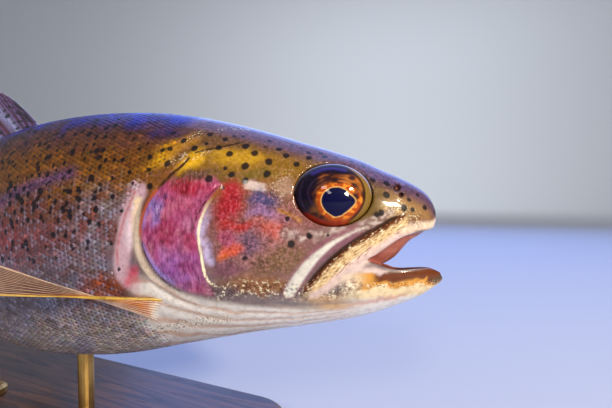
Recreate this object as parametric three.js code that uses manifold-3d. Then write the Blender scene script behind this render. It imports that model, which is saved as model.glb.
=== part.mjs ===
// A life-size rainbow trout with its mouth a little open, held by two rods over a flat base.
// Millimetres, +Z up. The fish swims along +X and its left side is +Y. The origin is the centre of
// the base's underside, on the surface that the stand rests on.
//
// Every piece of the fish is first made straight: x is minus the distance behind the snout, y is
// sideways from the middle, z is up from the tip of the snout. posed() then bends it to its swimming
// curve. Outlines are lists of [distance behind the snout, height above the snout].
import * as THREE from "three";
import { mergeVertices } from "three/addons/utils/BufferGeometryUtils.js";
import Module from "manifold-3d";

const wasm = await Module();
wasm.setup();

// ---------------------------------------------------------------- driving dimensions
const ease = THREE.MathUtils.smoothstep;
const GAP = 0.3; // clearance between pieces that meet
const TRUNK_END = 262; // where the trunk gives way to the tail stalk
const STALK_END = 347; // where the tail fin's rays start
const COVER_DEPTH = 2.2; // thickness of a gill cover below the skin
const COVER_PROUD = 0.8; // and how far it stands above the skin
const FIN_ROOT = 1.8; // thickness of a fin at its root
const FIN_EDGE = 0.7; // and along its edge

const HEAD_TURN = 12; // degrees that the head points to the left of +X
const TRUNK_TURN = -6; // the same for the trunk
const TAIL_TURN = 11; // and for the tail
const DROOP = 5; // degrees that the back slopes down towards the tail
const HEAD_BEND = [52, 160]; // stretch in which the head's direction becomes the trunk's
const TAIL_BEND = [225, 350]; // and the trunk's becomes the tail's

const SNOUT = new THREE.Vector3(198.32, 16, 108); // where the tip of the snout is
const BASE = { length: 240, width: 116, height: 14, corner: 20, bevel: 2, middle: 14 };
const ROD = { radius: 3, collar: 6, collarHeight: 4, behind: [138, 216] };

// ---------------------------------------------------------------- profiles along the fish
// A smooth curve through [place, value] knots: cubic between them, with each knot's slope taken from
// its two neighbours.
function curve(knots) {
  const last = knots.length - 1;
  const slope = (i) => {
    const a = knots[Math.max(i - 1, 0)];
    const b = knots[Math.min(i + 1, last)];
    return (b[1] - a[1]) / (b[0] - a[0]);
  };
  return (s) => {
    if (s <= knots[0][0]) return knots[0][1];
    if (s >= knots[last][0]) return knots[last][1];
    const i = knots.findIndex((knot) => knot[0] > s) - 1;
    const span = knots[i + 1][0] - knots[i][0];
    const t = (s - knots[i][0]) / span;
    const rise = t * t * (3 - 2 * t);
    return (
      knots[i][1] * (1 - rise) +
      knots[i + 1][1] * rise +
      span * slope(i) * t * (1 - t) * (1 - t) -
      span * slope(i + 1) * t * t * (1 - t)
    );
  };
}

const BACK = curve([
  [0, 1], [2, 5], [5, 8], [11, 11.3], [16, 13.5], [23, 16.8], [33, 20.2], [43, 23.2], [52, 26],
  [63, 29], [77, 32.3], [92, 34.8], [120, 37], [150, 37.8], [170, 37], [200, 33.5], [240, 25.5],
  [280, 16.5], [310, 11], [330, 9.5], [350, 11],
]);
const BELLY = curve([
  [30, -33.4], [42, -36.2], [60, -40], [79, -44.4], [100, -49.5], [120, -52.5], [150, -54.5],
  [175, -53.5], [200, -50.5], [240, -42], [262, -36.5], [290, -28.5], [310, -25], [330, -24],
  [350, -26.5],
]);
const BODY_HALF = curve([
  [30, 16.5], [42, 19.5], [55, 21.8], [70, 23], [86, 23.4], [100, 24.6], [120, 26.2], [150, 27.2],
  [180, 26.6], [200, 25], [240, 20], [270, 15.2], [290, 11.8], [310, 8.8], [330, 6.6], [350, 4],
]);
const WIDEST = curve([[0, -2], [30, -3], [86, -6], [150, -9], [240, -8], [350, -8]]);

const LOWER_JAW_LINE = curve([
  [-1.6, -19.2], [-0.6, -18.4], [2, -18.4], [7, -18.7], [10, -17.8], [12.2, -15.2], [15, -14.2],
  [19, -13.6],
]);
const CHIN = curve([
  [-1.6, -20], [0, -21.6], [5, -25], [11, -27.8], [20, -31.4], [30, -34], [42, -36.2], [50, -37.9],
]);

// The lofts that make the fish: what each one's sections reach up, down and sideways, the height at
// which they are widest, and how square they are. The head's is the outline of a closed mouth, from
// which the gape is cut.
const BODY_FORM = { top: BACK, bottom: BELLY, half: BODY_HALF, middle: WIDEST, power: 2.25 };
const HEAD_FORM = {
  top: BACK,
  bottom: curve([
    [0, -2.6], [1.5, -5], [5, -8.5], [9, -14], [14, -21], [20, -27.5], [27, -32], [34, -34.4],
    [42, -36.2], [60, -40], [79, -44.4], [100, -49.5],
  ]),
  half: curve([
    [0, 2.6], [1.5, 5], [5, 7.8], [11, 10.8], [20, 14.2], [30, 17], [42, 19.6], [55, 21.8], [70, 23],
    [86, 23.4], [100, 24.6],
  ]),
  middle: WIDEST,
  power: 2.25,
};
const JAW_FORM = {
  top: (s) => LOWER_JAW_LINE(s) + 9,
  bottom: CHIN,
  half: curve([
    [-1.6, 0.8], [-0.8, 2.2], [1, 4.4], [5, 6.9], [11, 9.6], [20, 13.2], [30, 16.4], [50, 20.6],
  ]),
  middle: curve([[-1.6, -18.9], [5, -18], [11, -16.5], [20, -12.5], [30, -8], [50, -5]]),
  power: 2.25,
};
// The palate hangs a little lower than the lips on either side of it.
const PALATE_LINE = curve([
  [0, -2], [1.5, -4.2], [6.3, -6.9], [8.5, -8.4], [12.6, -13.2], [16, -15.4], [24, -17.4], [40, -20],
]);
const PALATE_FORM = {
  top: curve([[0, 0], [10, 2], [46, -8]]),
  bottom: PALATE_LINE,
  half: curve([[1.6, 1.4], [4, 4], [9, 7.4], [16, 10.6], [26, 14], [46, 16]]),
  middle: curve([[0, -1], [10, -3], [24, -10], [46, -14]]),
  power: 2.6,
};
const MOUTH_FORM = {
  top: (s) => PALATE_LINE(s) + ease(s, 14, 30) * 2,
  bottom: curve([[-6, -19], [-1, -19.4], [6, -21.6], [20, -26], [34, -29.4], [56, -28]]),
  half: curve([
    [-6, 1.6], [-1, 1.4], [1, 2.6], [5, 4.6], [11, 7.4], [20, 10.2], [34, 12], [48, 11], [56, 7],
  ]),
  middle: curve([[-6, -13], [20, -19], [56, -24]]),
  power: 2.4,
};

// ---------------------------------------------------------------- making and cutting solids
function solid(geometry) {
  const bare = geometry.clone();
  bare.deleteAttribute("normal");
  bare.deleteAttribute("uv");
  const merged = mergeVertices(bare, 1e-3);
  return new wasm.Manifold(
    new wasm.Mesh({
      numProp: 3,
      vertProperties: new Float32Array(merged.attributes.position.array),
      triVerts: new Uint32Array(merged.index.array),
    }),
  );
}

// A closed mesh from a grid of points: grid[i][j] with j going round, and a fan over each end. Its
// faces are turned outwards whichever way round the grid goes.
function shell(grid) {
  const rows = grid.length;
  const columns = grid[0].length;
  const points = grid.flat();
  const centre = (row) => row.reduce((sum, p) => sum.add(p), new THREE.Vector3()).divideScalar(columns);
  points.push(centre(grid[0]), centre(grid[rows - 1]));
  const faces = [];
  for (let j = 0; j < columns; j++) {
    const next = (j + 1) % columns;
    for (let i = 0; i + 1 < rows; i++) {
      const [here, across] = [i * columns + j, i * columns + next];
      faces.push(here, across, across + columns, here, across + columns, here + columns);
    }
    faces.push(rows * columns, next, j);
    faces.push(rows * columns + 1, (rows - 1) * columns + j, (rows - 1) * columns + next);
  }
  const volume = faces.reduce((sum, v, k) => {
    if (k % 3) return sum;
    return sum + points[v].dot(points[faces[k + 1]].clone().cross(points[faces[k + 2]])) / 6;
  }, 0);
  const geometry = new THREE.BufferGeometry().setFromPoints(points);
  geometry.setIndex(volume > 0 ? faces : faces.reverse());
  return geometry;
}

const signedPower = (value, power) => Math.sign(value) * Math.abs(value) ** power;

// A loft through superellipse sections, grown on every side by `grow`.
function loft(form, stations, grow = 0, sides = 24) {
  const rings = stations.map((s) => {
    const ring = [];
    for (let j = 0; j < sides; j++) {
      const turn = (2 * Math.PI * j) / sides;
      const across = signedPower(Math.sin(turn), 2 / form.power);
      const upright = signedPower(Math.cos(turn), 2 / form.power);
      const middle = form.middle(s);
      const reach = upright > 0 ? form.top(s) + grow - middle : middle - form.bottom(s) + grow;
      ring.push(new THREE.Vector3(-s, across * (form.half(s) + grow), middle + upright * reach));
    }
    return ring;
  });
  return solid(shell(rings));
}

const steps = (from, to, count) =>
  Array.from({ length: count + 1 }, (_, i) => THREE.MathUtils.lerp(from, to, i / count));

// The straight slab whose side view is the closed spline through these [behind, up] points.
function slab(points, smooth = true, halfWidth = 60) {
  const flat = points.map(([s, z]) => new THREE.Vector2(-s, z));
  const outline = smooth ? new THREE.SplineCurve([...flat, flat[0]]).getPoints(points.length * 2) : flat;
  if (smooth) outline.pop();
  const geometry = new THREE.ExtrudeGeometry(new THREE.Shape(outline), {
    depth: 2 * halfWidth,
    bevelEnabled: false,
  });
  geometry.rotateX(Math.PI / 2);
  geometry.translate(0, halfWidth, 0);
  return solid(geometry);
}

// Grows a [behind, up] outline away from its middle, to leave a gap round a piece cut with it.
function grown(points, by) {
  const middle = points.reduce(([a, b], [s, z]) => [a + s / points.length, b + z / points.length], [0, 0]);
  return points.map(([s, z]) => {
    const away = new THREE.Vector2(s - middle[0], z - middle[1]).setLength(by);
    return [s + away.x, z + away.y];
  });
}

function box(from, to) {
  const size = to.clone().sub(from);
  const middle = from.clone().add(to).divideScalar(2);
  return solid(new THREE.BoxGeometry(size.x, size.y, size.z).translate(middle.x, middle.y, middle.z));
}

const sideHalf = (side) =>
  side > 0
    ? box(new THREE.Vector3(-500, 0.5, -200), new THREE.Vector3(100, 100, 200))
    : box(new THREE.Vector3(-500, -100, -200), new THREE.Vector3(100, -0.5, 200));

const between = (from, to) =>
  box(new THREE.Vector3(-to, -100, -200), new THREE.Vector3(-from, 100, 200));

// ---------------------------------------------------------------- the swimming curve
const STEP = 1;
const SPINE = [];
{
  const place = SNOUT.clone();
  for (let s = 0; s <= 420; s += STEP) {
    const turn = THREE.MathUtils.degToRad(
      HEAD_TURN +
        (TRUNK_TURN - HEAD_TURN) * ease(s, ...HEAD_BEND) +
        (TAIL_TURN - TRUNK_TURN) * ease(s, ...TAIL_BEND),
    );
    const tilt = THREE.MathUtils.degToRad(DROOP) * ease(s, ...HEAD_BEND);
    const ahead = new THREE.Vector3(
      Math.cos(turn) * Math.cos(tilt),
      Math.sin(turn) * Math.cos(tilt),
      Math.sin(tilt),
    );
    const left = new THREE.Vector3(-Math.sin(turn), Math.cos(turn), 0);
    SPINE.push({ place: place.clone(), ahead, left, up: ahead.clone().cross(left) });
    place.addScaledVector(ahead, -STEP);
  }
}

// A straight point carried to its place on the swimming curve.
function posedPoint(point) {
  const s = THREE.MathUtils.clamp(-point.x, 0, 419);
  const here = SPINE[Math.floor(s)];
  const next = SPINE[Math.floor(s) + 1];
  const t = s - Math.floor(s);
  const blend = (name) => here[name].clone().lerp(next[name], t);
  return blend("place")
    .addScaledVector(blend("ahead").normalize(), point.x + s)
    .addScaledVector(blend("left").normalize(), point.y)
    .addScaledVector(blend("up").normalize(), point.z);
}

function posed(manifold) {
  const mesh = manifold.getMesh();
  const points = [];
  for (let i = 0; i < mesh.numVert; i++) {
    const at = i * mesh.numProp;
    points.push(posedPoint(new THREE.Vector3(...mesh.vertProperties.subarray(at, at + 3))));
  }
  const geometry = new THREE.BufferGeometry().setFromPoints(points);
  geometry.setIndex(new THREE.BufferAttribute(new Uint32Array(mesh.triVerts), 1));
  return geometry;
}

function geometryOf(manifold) {
  const mesh = manifold.getMesh();
  const geometry = new THREE.BufferGeometry();
  geometry.setAttribute("position", new THREE.BufferAttribute(new Float32Array(mesh.vertProperties), 3));
  geometry.setIndex(new THREE.BufferAttribute(new Uint32Array(mesh.triVerts), 1));
  return geometry;
}

// ---------------------------------------------------------------- outlines on the side of the head
const COVER_OUTLINE = [
  [62.4, 11.5], [69, 16], [74.9, 14.5], [79.4, 8], [82.8, 0], [84, -7], [82, -14.5], [76.9, -20.7],
  [70, -24], [61.5, -25], [63, -19], [66.5, -8], [65.4, 2],
];
const HEAD_OUTLINE = [
  [-10, 60], [71, 60], [74, 32], [79.6, 22], [85, 12], [88.8, 2], [89.6, -6], [87.7, -15], [81.7, -24.5],
  [75, -32], [71, -40], [69, -60], [-10, -60],
];
const MAXILLA_OUTLINE = [
  [9.5, 1.5], [13, 1.8], [18.5, -1.6], [25, -6.6], [32, -13.2], [38.5, -20], [38.6, -23.8], [35, -23],
  [27, -17.3], [20, -12.2], [13.5, -7.4], [9, -4],
];
const JAW_REAR = [
  [19, -13.6], [24, -16.4], [31, -21.4], [38, -25.6], [43, -28.6], [46, -33], [46.5, -50],
];
const JAW_RIM = [-1.6, 0, 4, 8, 10, 12.2, 15].map((s) => [s, LOWER_JAW_LINE(s)]);
const JAW_OUTLINE = [[-8, -19.2], ...JAW_RIM, ...JAW_REAR, [-8, -50]];
const JAW_GAP_OUTLINE = JAW_OUTLINE.map(([s, z]) => [s + 0.6 * GAP, z + GAP]);
const GAPE_OUTLINE = [
  [-8, -1], [0, -2.6], [1.5, -4.4], [8, -5.2], [14, -8.4], [18.5, -11.6],
  ...JAW_REAR.map(([s, z]) => [s + 0.6 * GAP, z + GAP]), [-8, -50],
];

const headStations = [0, 0.6, 1.6, 3.2, 5.6, 9, 13.5, 19, 25, 32, 39, 47, 56, 65, 74, 83, 92];
const jawStations = [-1.6, -1.2, -0.4, 1, 3, 6, 10, 15, 21, 28, 35, 42, 50];
const bodyStations = steps(66, STALK_END + 3, 22);

const hull = (grow) => loft(HEAD_FORM, headStations, grow);

// ---------------------------------------------------------------- the head's pieces
const EYE = { behind: 30.3, out: 13.4, up: 6.1, radii: [11.4, 6, 9.2], yaw: 11, roll: 9 };

function eyeball(side, grow) {
  const geometry = new THREE.SphereGeometry(1, 18, 10);
  geometry.scale(EYE.radii[0] + grow, EYE.radii[1] + grow, EYE.radii[2] + grow);
  geometry.rotateX(THREE.MathUtils.degToRad(side * EYE.roll));
  geometry.rotateZ(THREE.MathUtils.degToRad(-side * EYE.yaw));
  geometry.translate(-EYE.behind, side * EYE.out, EYE.up);
  return solid(geometry);
}

const mouth = loft(MOUTH_FORM, [...steps(-5, 55, 12)]);

function head() {
  const palate = loft(PALATE_FORM, [1.2, 2.4, 4.2, 6.6, 9.6, 13, 17, 22, 30], 0, 16);
  let made = hull(0).intersect(slab(HEAD_OUTLINE, false)).subtract(slab(GAPE_OUTLINE, false));
  made = made.add(palate.intersect(hull(-2)).subtract(slab(JAW_GAP_OUTLINE, false))).subtract(mouth);
  made = made.subtract(slab(grown(COVER_OUTLINE, GAP)).subtract(hull(-COVER_DEPTH - GAP)));
  made = made.subtract(slab(grown(MAXILLA_OUTLINE, GAP)).subtract(hull(-1.6)));
  for (const side of [-1, 1]) made = made.subtract(eyeball(side, GAP));
  return largest(made);
}

// Cuts can leave a crumb behind, so a piece is its largest part.
function largest(manifold) {
  return manifold.decompose().reduce((a, b) => (b.volume() > a.volume() ? b : a));
}

function lowerJaw() {
  return largest(loft(JAW_FORM, jawStations).intersect(slab(JAW_OUTLINE, false)).subtract(mouth));
}

function gillCover(side) {
  const plate = hull(COVER_PROUD).intersect(slab(COVER_OUTLINE)).subtract(hull(-COVER_DEPTH));
  return largest(plate.intersect(sideHalf(side)));
}

function maxilla(side) {
  const plate = hull(0.7).intersect(slab(MAXILLA_OUTLINE)).subtract(hull(-1.3));
  return largest(plate.intersect(sideHalf(side)));
}

// The tongue lies on the floor of the mouth, broad behind and round at its tip.
function tongue() {
  const form = {
    top: curve([[11, -21.5], [14, -19.8], [30, -21.5], [42, -24]]),
    bottom: curve([[11, -22.6], [14, -23.2], [30, -28.2], [42, -29]]),
    half: curve([[11, 0.6], [13, 3.2], [20, 5.2], [42, 7]]),
    middle: curve([[11, -22], [42, -26]]),
    power: 2.2,
  };
  return loft(form, [11, 11.6, 13, 16, 22, 30, 42], 0, 16);
}

// ---------------------------------------------------------------- trunk and tail stalk
const bodyLoft = (grow) => loft(BODY_FORM, bodyStations, grow);

const trunk = () =>
  largest(
    bodyLoft(0)
      .intersect(between(60, TRUNK_END))
      .subtract(slab(grown(HEAD_OUTLINE, GAP), false))
      .subtract(slab(grown(COVER_OUTLINE, GAP)).subtract(hull(-COVER_DEPTH - GAP))),
  );
const tailStalk = () => bodyLoft(0).intersect(between(TRUNK_END + GAP, STALK_END));

// ---------------------------------------------------------------- fins
// A fin is a fan of rays. Ray u of 0 to 1 starts at root(u), points along aim(u) and is as long as
// reach(u). Its thickness lies along the fan's own normal.
function fin({ root, aim, reach, rays = 12, spans = 2 }) {
  const place = (u, out) => root(u).addScaledVector(aim(u), reach(u) * out);
  const normal = (u, out, near = 0.01) => {
    const alongFan = place(u + near, out).sub(place(u - near, out));
    const alongRay = place(u, out + near).sub(place(u, out - near));
    return alongFan.cross(alongRay).normalize();
  };
  const rings = [];
  for (let k = 0; k <= spans; k++) {
    const out = k / spans;
    const half = (FIN_ROOT + (FIN_EDGE - FIN_ROOT) * out) / 2;
    const near = [];
    const far = [];
    for (let i = 0; i <= rays; i++) {
      const u = i / rays;
      near.push(place(u, out).addScaledVector(normal(u, out), -half));
      far.unshift(place(u, out).addScaledVector(normal(u, out), half));
    }
    rings.push([...near, ...far]);
  }
  return solid(shell(rings));
}

const at = (s, z, y = 0) => new THREE.Vector3(-s, y, z);
// A direction in the fish's middle plane: 0 degrees is straight back and 90 is straight up.
const backAndUp = (degrees) => {
  const a = THREE.MathUtils.degToRad(degrees);
  return new THREE.Vector3(-Math.cos(a), 0, Math.sin(a));
};
const mix = THREE.MathUtils.lerp;

const DORSAL = {
  root: (u) => at(mix(158, 202, u), BACK(mix(158, 202, u)) - 1.5),
  aim: (u) => backAndUp(mix(50, 28, u)),
  reach: curve([[0, 8], [0.04, 16], [0.1, 25], [0.18, 33], [0.28, 36], [0.5, 32], [0.8, 26], [1, 20]]),
};
const ADIPOSE = {
  root: (u) => at(mix(279, 287, u), BACK(mix(279, 287, u)) - 1),
  aim: (u) => backAndUp(mix(48, 26, u)),
  reach: curve([[0, 4], [0.2, 10], [0.5, 14], [0.8, 14], [1, 11]]),
  rays: 7,
};
const ANAL = {
  root: (u) => at(mix(255, 287, u), BELLY(mix(255, 287, u)) + 1.5),
  aim: (u) => backAndUp(mix(-58, -26, u)),
  reach: curve([[0, 8], [0.05, 22], [0.16, 34], [0.3, 36], [0.6, 28], [1, 18]]),
};
const TAIL = {
  root: (u) => at(STALK_END + GAP, mix(10.6, -26.2, u)),
  aim: (u) => backAndUp(mix(34, -34, u)),
  reach: curve([
    [0, 44], [0.04, 58], [0.09, 60], [0.25, 52], [0.5, 44], [0.75, 52], [0.91, 60], [0.96, 58], [1, 44],
  ]),
  rays: 22,
};
// Pelvic and pectoral fins, for the side -1 (right) or 1 (left).
const pelvic = (side) => ({
  root: (u) => at(mix(186, 197, u), mix(-46.5, -48.5, u), side * mix(16.5, 8, u)),
  aim: (u) => new THREE.Vector3(-1, side * mix(0.55, 0.08, u), mix(-0.4, -0.34, u)).normalize(),
  reach: curve([[0, 22], [0.08, 36], [0.22, 40], [0.6, 34], [1, 22]]),
  rays: 8,
});
const pectoral = (side) => ({
  root: (u) => at(mix(79.3, 82, u), mix(-25, -33, u), side * mix(20.2, 17.2, u)),
  aim: (u) => new THREE.Vector3(-1, side * mix(0.4, 0.5, u), mix(0.06, 0.5, u)).normalize(),
  reach: curve([[0, 50], [0.06, 62], [0.2, 65], [0.5, 63], [0.8, 57], [1, 50]]),
  rays: 10,
  spans: 4,
});

// ---------------------------------------------------------------- the stand
function standBase() {
  const { length, width, height, corner, bevel } = BASE;
  const [x, y] = [length / 2 - bevel, width / 2 - bevel];
  const outline = new THREE.Shape();
  outline.moveTo(-x + corner, -y);
  outline.lineTo(x - corner, -y).absarc(x - corner, -y + corner, corner, -Math.PI / 2, 0);
  outline.lineTo(x, y - corner).absarc(x - corner, y - corner, corner, 0, Math.PI / 2);
  outline.lineTo(-x + corner, y).absarc(-x + corner, y - corner, corner, Math.PI / 2, Math.PI);
  outline.lineTo(-x, -y + corner).absarc(-x + corner, -y + corner, corner, Math.PI, 1.5 * Math.PI);
  const geometry = new THREE.ExtrudeGeometry(outline, {
    depth: height - 2 * bevel,
    bevelThickness: bevel,
    bevelSize: bevel,
    bevelSegments: 2,
    curveSegments: 6,
  });
  return solid(geometry.translate(BASE.middle, 0, bevel));
}

// A turned rod with a collar at its foot; it stands on the base and its top is cut to the belly.
function standRod(behind, belly) {
  const foot = posedPoint(at(behind, BELLY(behind)));
  const bottom = BASE.height + GAP;
  const top = foot.z + 6;
  const { radius, collar, collarHeight } = ROD;
  const profile = [
    [0, bottom], [collar, bottom], [collar, bottom + collarHeight - 1.5],
    [collar - 1.5, bottom + collarHeight], [radius, bottom + collarHeight], [radius, top], [0, top],
  ].map(([r, z]) => new THREE.Vector2(r, z));
  const geometry = new THREE.LatheGeometry(profile, 16);
  geometry.rotateX(Math.PI / 2);
  geometry.translate(foot.x, foot.y, 0);
  return largest(solid(geometry).subtract(belly));
}

// ---------------------------------------------------------------- the whole model
const paint = (color, roughness, metalness = 0) =>
  new THREE.MeshStandardMaterial({ color, roughness, metalness });
const MATERIALS = {
  skin: paint(0x8f8a6a, 0.25),
  head: paint(0x9a8a4c, 0.25),
  gill: paint(0xb5506a, 0.25),
  lip: paint(0xd8b98a, 0.3),
  mouth: paint(0xd99a8c, 0.35),
  fin: paint(0xb98a58, 0.3),
  tail: paint(0x7f7658, 0.3),
  eye: paint(0xb8762a, 0.08),
  wood: paint(0x3a2416, 0.45),
  brass: paint(0xb08d4f, 0.3, 1),
};

const fish = new THREE.Group();
const stand = new THREE.Group();

function put(group, name, geometry, material) {
  const mesh = new THREE.Mesh(geometry, MATERIALS[material]);
  mesh.name = name;
  group.add(mesh);
}

const trunkSolid = trunk();
const stalkSolid = tailStalk();
put(fish, "head", posed(head()), "head");
put(fish, "lower_jaw", posed(lowerJaw()), "lip");
put(fish, "tongue", posed(tongue()), "mouth");
put(fish, "trunk", posed(trunkSolid), "skin");
put(fish, "tail_stalk", posed(stalkSolid), "skin");

const skinClear = bodyLoft(GAP);
const cutToBody = (made) => largest(made.subtract(skinClear));
put(fish, "dorsal_fin", posed(cutToBody(fin(DORSAL))), "tail");
put(fish, "adipose_fin", posed(cutToBody(fin(ADIPOSE))), "tail");
put(fish, "anal_fin", posed(cutToBody(fin(ANAL))), "fin");
put(fish, "tail_fin", posed(fin(TAIL)), "tail");
for (const [side, word] of [[-1, "right"], [1, "left"]]) {
  put(fish, "gill_cover_" + word, posed(gillCover(side)), "gill");
  put(fish, "maxilla_" + word, posed(maxilla(side)), "lip");
  put(fish, "eye_" + word, posed(eyeball(side, 0)), "eye");
  put(fish, "pectoral_fin_" + word, posed(cutToBody(fin(pectoral(side)))), "fin");
  put(fish, "pelvic_fin_" + word, posed(cutToBody(fin(pelvic(side)))), "fin");
}

put(stand, "stand_base", geometryOf(standBase()), "wood");
const posedBelly = solid(posed(skinClear));
["front", "rear"].forEach((word, i) => {
  put(stand, "stand_rod_" + word, geometryOf(standRod(ROD.behind[i], posedBelly)), "brass");
});

const model = new THREE.Group();
model.add(fish, stand);
export default model;
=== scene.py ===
# %% [markdown]
# # A rainbow trout, life size, on a display stand
# The real animal is one soft, wet body: a scaleless head with hard plates just under the skin, a
# trunk covered in small overlapping scales, and thin rayed fins. The solids from the CAD step give
# its sizes. Here the flesh becomes one closed skin, every scale becomes a small curved plate over
# it, and the fins and eyes are made again with their fine detail.
#
# Everything is worked out in millimetres on a straight fish first: `s` runs back from the tip of
# the snout, `y` is to the fish's left and `z` is up. `pose` then bends it into its swimming curve.

# %% Load the measured frame
import math

import bpy
import numpy as np
from mathutils import Matrix, Vector


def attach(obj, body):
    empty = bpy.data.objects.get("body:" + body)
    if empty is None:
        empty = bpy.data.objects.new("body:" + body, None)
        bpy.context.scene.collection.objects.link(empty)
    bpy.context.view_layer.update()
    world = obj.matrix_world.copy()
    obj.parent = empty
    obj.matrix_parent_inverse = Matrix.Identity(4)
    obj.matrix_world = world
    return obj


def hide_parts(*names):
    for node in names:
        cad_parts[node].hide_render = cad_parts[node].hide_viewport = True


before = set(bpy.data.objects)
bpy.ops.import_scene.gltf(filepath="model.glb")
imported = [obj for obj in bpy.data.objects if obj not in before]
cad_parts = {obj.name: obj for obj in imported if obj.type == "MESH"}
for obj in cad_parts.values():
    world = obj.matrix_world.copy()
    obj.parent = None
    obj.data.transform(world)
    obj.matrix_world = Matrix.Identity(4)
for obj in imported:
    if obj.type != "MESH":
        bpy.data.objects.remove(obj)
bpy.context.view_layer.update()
MM = 0.001

# %% [markdown]
# ## Smooth curves from a few measured places
# A fish's outline is a smooth line through a handful of heights. Joining them with straight pieces
# would show corners, and one polynomial would ripple, so each stretch between two knots eases from
# one value to the next and leaves each knot at the slope between its neighbours.

# %% Curves and blends
def curve(*knots):
    """Between two knots: ease from value to value, plus the end slopes times t(1-t)^2, t^2(1-t)."""
    place, value = np.array(knots, float).T
    slope = np.gradient(value)
    slope[1:-1] = (value[2:] - value[:-2]) / (place[2:] - place[:-2])
    slope[0] = (value[1] - value[0]) / (place[1] - place[0])
    slope[-1] = (value[-1] - value[-2]) / (place[-1] - place[-2])

    def at(x):
        x = np.clip(np.asarray(x, float), place[0], place[-1])
        i = np.clip(np.searchsorted(place, x, side="right") - 1, 0, len(place) - 2)
        run = place[i + 1] - place[i]
        t = (x - place[i]) / run
        blend = t * t * (3 - 2 * t)
        bend = slope[i] * t * (1 - t) ** 2 - slope[i + 1] * t * t * (1 - t)
        return value[i] * (1 - blend) + value[i + 1] * blend + run * bend

    return at


def ease(x, low, high):
    """0 below low, 1 above high, and 3t^2 - 2t^3 between them."""
    t = np.clip((x - low) / (high - low), 0, 1)
    return t * t * (3 - 2 * t)


def soft_max(a, b, width):
    """The larger of two fields, its corner rounded over about `width`."""
    return 0.5 * (a + b + np.sqrt((a - b) ** 2 + width**2))


def soft_min(a, b, width):
    """The smaller of two fields, rounded over in the same way."""
    return -soft_max(-a, -b, width)


# %% Heights and half widths of the fish, from snout to tail
BACK = curve(
    (0, 1), (2, 5), (5, 8), (11, 11.3), (16, 13.5), (23, 16.8), (33, 20.2), (43, 23.2), (52, 26),
    (63, 29), (77, 32.3), (92, 34.8), (120, 37), (150, 37.8), (170, 37), (200, 33.5), (240, 25.5),
    (280, 16.5), (310, 11), (330, 9.5), (350, 11),
)
BELLY = curve(
    (0, -2.6), (1.5, -5), (5, -8.5), (9, -14), (14, -21), (20, -27.5), (27, -32), (34, -34.4),
    (42, -36.2), (60, -40), (79, -44.4), (100, -49.5), (120, -52.5), (150, -54.5), (175, -53.5),
    (200, -50.5), (240, -42), (262, -36.5), (290, -28.5), (310, -25), (330, -24), (350, -26.5),
)
HALF = curve(
    (0, 2.6), (1.5, 5), (5, 7.8), (11, 10.8), (20, 14.2), (30, 17), (42, 19.6), (55, 21.8), (70, 23),
    (86, 23.4), (100, 24.6), (120, 26.2), (150, 27.2), (180, 26.6), (200, 25), (240, 20),
    (270, 15.2), (290, 11.8), (310, 8.8), (330, 6.6), (350, 4),
)
WIDEST = curve((0, -2), (30, -3), (86, -6), (150, -9), (240, -8), (350, -8))
LOWER_LIP = curve(
    (-2.4, -18.2), (-1.2, -17.2), (2, -16.1), (6, -16.3), (10, -16.7), (12.2, -16.7), (14.6, -16.3),
    (17.1, -15.3), (19.6, -13.6),
)
CHIN = curve(
    (-2.4, -19.9), (0, -21.6), (5, -25), (11, -27.8), (20, -31.4), (30, -34), (42, -36.2), (50, -37.9),
)
JAW_HALF = curve(
    (-2.4, 0.8), (-1.4, 2.2), (1, 4.4), (5, 6.9), (11, 9.6), (20, 13.2), (30, 16.4), (50, 20.6),
)
JAW_MIDDLE = curve((-2.4, -18.9), (5, -18), (11, -16.5), (20, -12.5), (30, -8), (50, -5))
PALATE = curve(
    (0, -2), (1.5, -4.2), (6.3, -6.9), (8.5, -8.4), (12.6, -13.2), (16, -15.4), (24, -17.4), (40, -20),
)
TAIL_ROOT = 346.8
ROUNDNESS = 2.25


def height_of_half(s, upper):
    """From the widest place up to the ridge where `upper` is true, else down to the keel."""
    return np.where(upper, BACK(s) - WIDEST(s), WIDEST(s) - BELLY(s))


print("deepest", round(float(BACK(150) - BELLY(150)), 1), "mm, widest", 2 * float(HALF(150)), "mm")

# %% [markdown]
# ## The swimming curve
# The living fish bends a little: the head turned one way, the trunk the other, and the tail back
# again. Walking along the spine in one-millimetre steps and turning a little at each gives a frame
# of three directions at every place, and any straight point is carried on the frame it belongs to.

# %% Carry straight points to the swimming pose
SPINE_LENGTH = 420
SNOUT = np.array([198.32, 16.0, 108.0])
HEAD_TURN, TRUNK_TURN, TAIL_TURN, DROOP = 12, -6, 11, 5

steps = np.arange(0, SPINE_LENGTH + 1.0)
turn = np.radians(
    HEAD_TURN
    + (TRUNK_TURN - HEAD_TURN) * ease(steps, 52, 160)
    + (TAIL_TURN - TRUNK_TURN) * ease(steps, 225, 350)
)
tilt = np.radians(DROOP) * ease(steps, 52, 160)
AHEAD = np.stack([np.cos(turn) * np.cos(tilt), np.sin(turn) * np.cos(tilt), np.sin(tilt)], 1)
LEFT = np.stack([-np.sin(turn), np.cos(turn), 0 * turn], 1)
UP = np.cross(AHEAD, LEFT)
SPINE = SNOUT - np.concatenate([np.zeros((1, 3)), np.cumsum(AHEAD, 0)[:-1]])


def pose(s, y, z):
    """Spine place at s, plus y along left and z along up; what is ahead of s = 0 goes straight on."""
    s, y, z = (np.asarray(c, float) for c in (s, y, z))
    held = np.clip(s, 0, SPINE_LENGTH - 1)
    step = held.astype(int)
    t = (held - step)[..., None]

    def along(line):
        return line[step] * (1 - t) + line[step + 1] * t

    carried = along(SPINE) + along(AHEAD) * (held - s)[..., None]
    return carried + along(LEFT) * y[..., None] + along(UP) * z[..., None]


print("tail fin's root is at", np.round(pose(TAIL_ROOT, 0, -8), 1))

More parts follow.
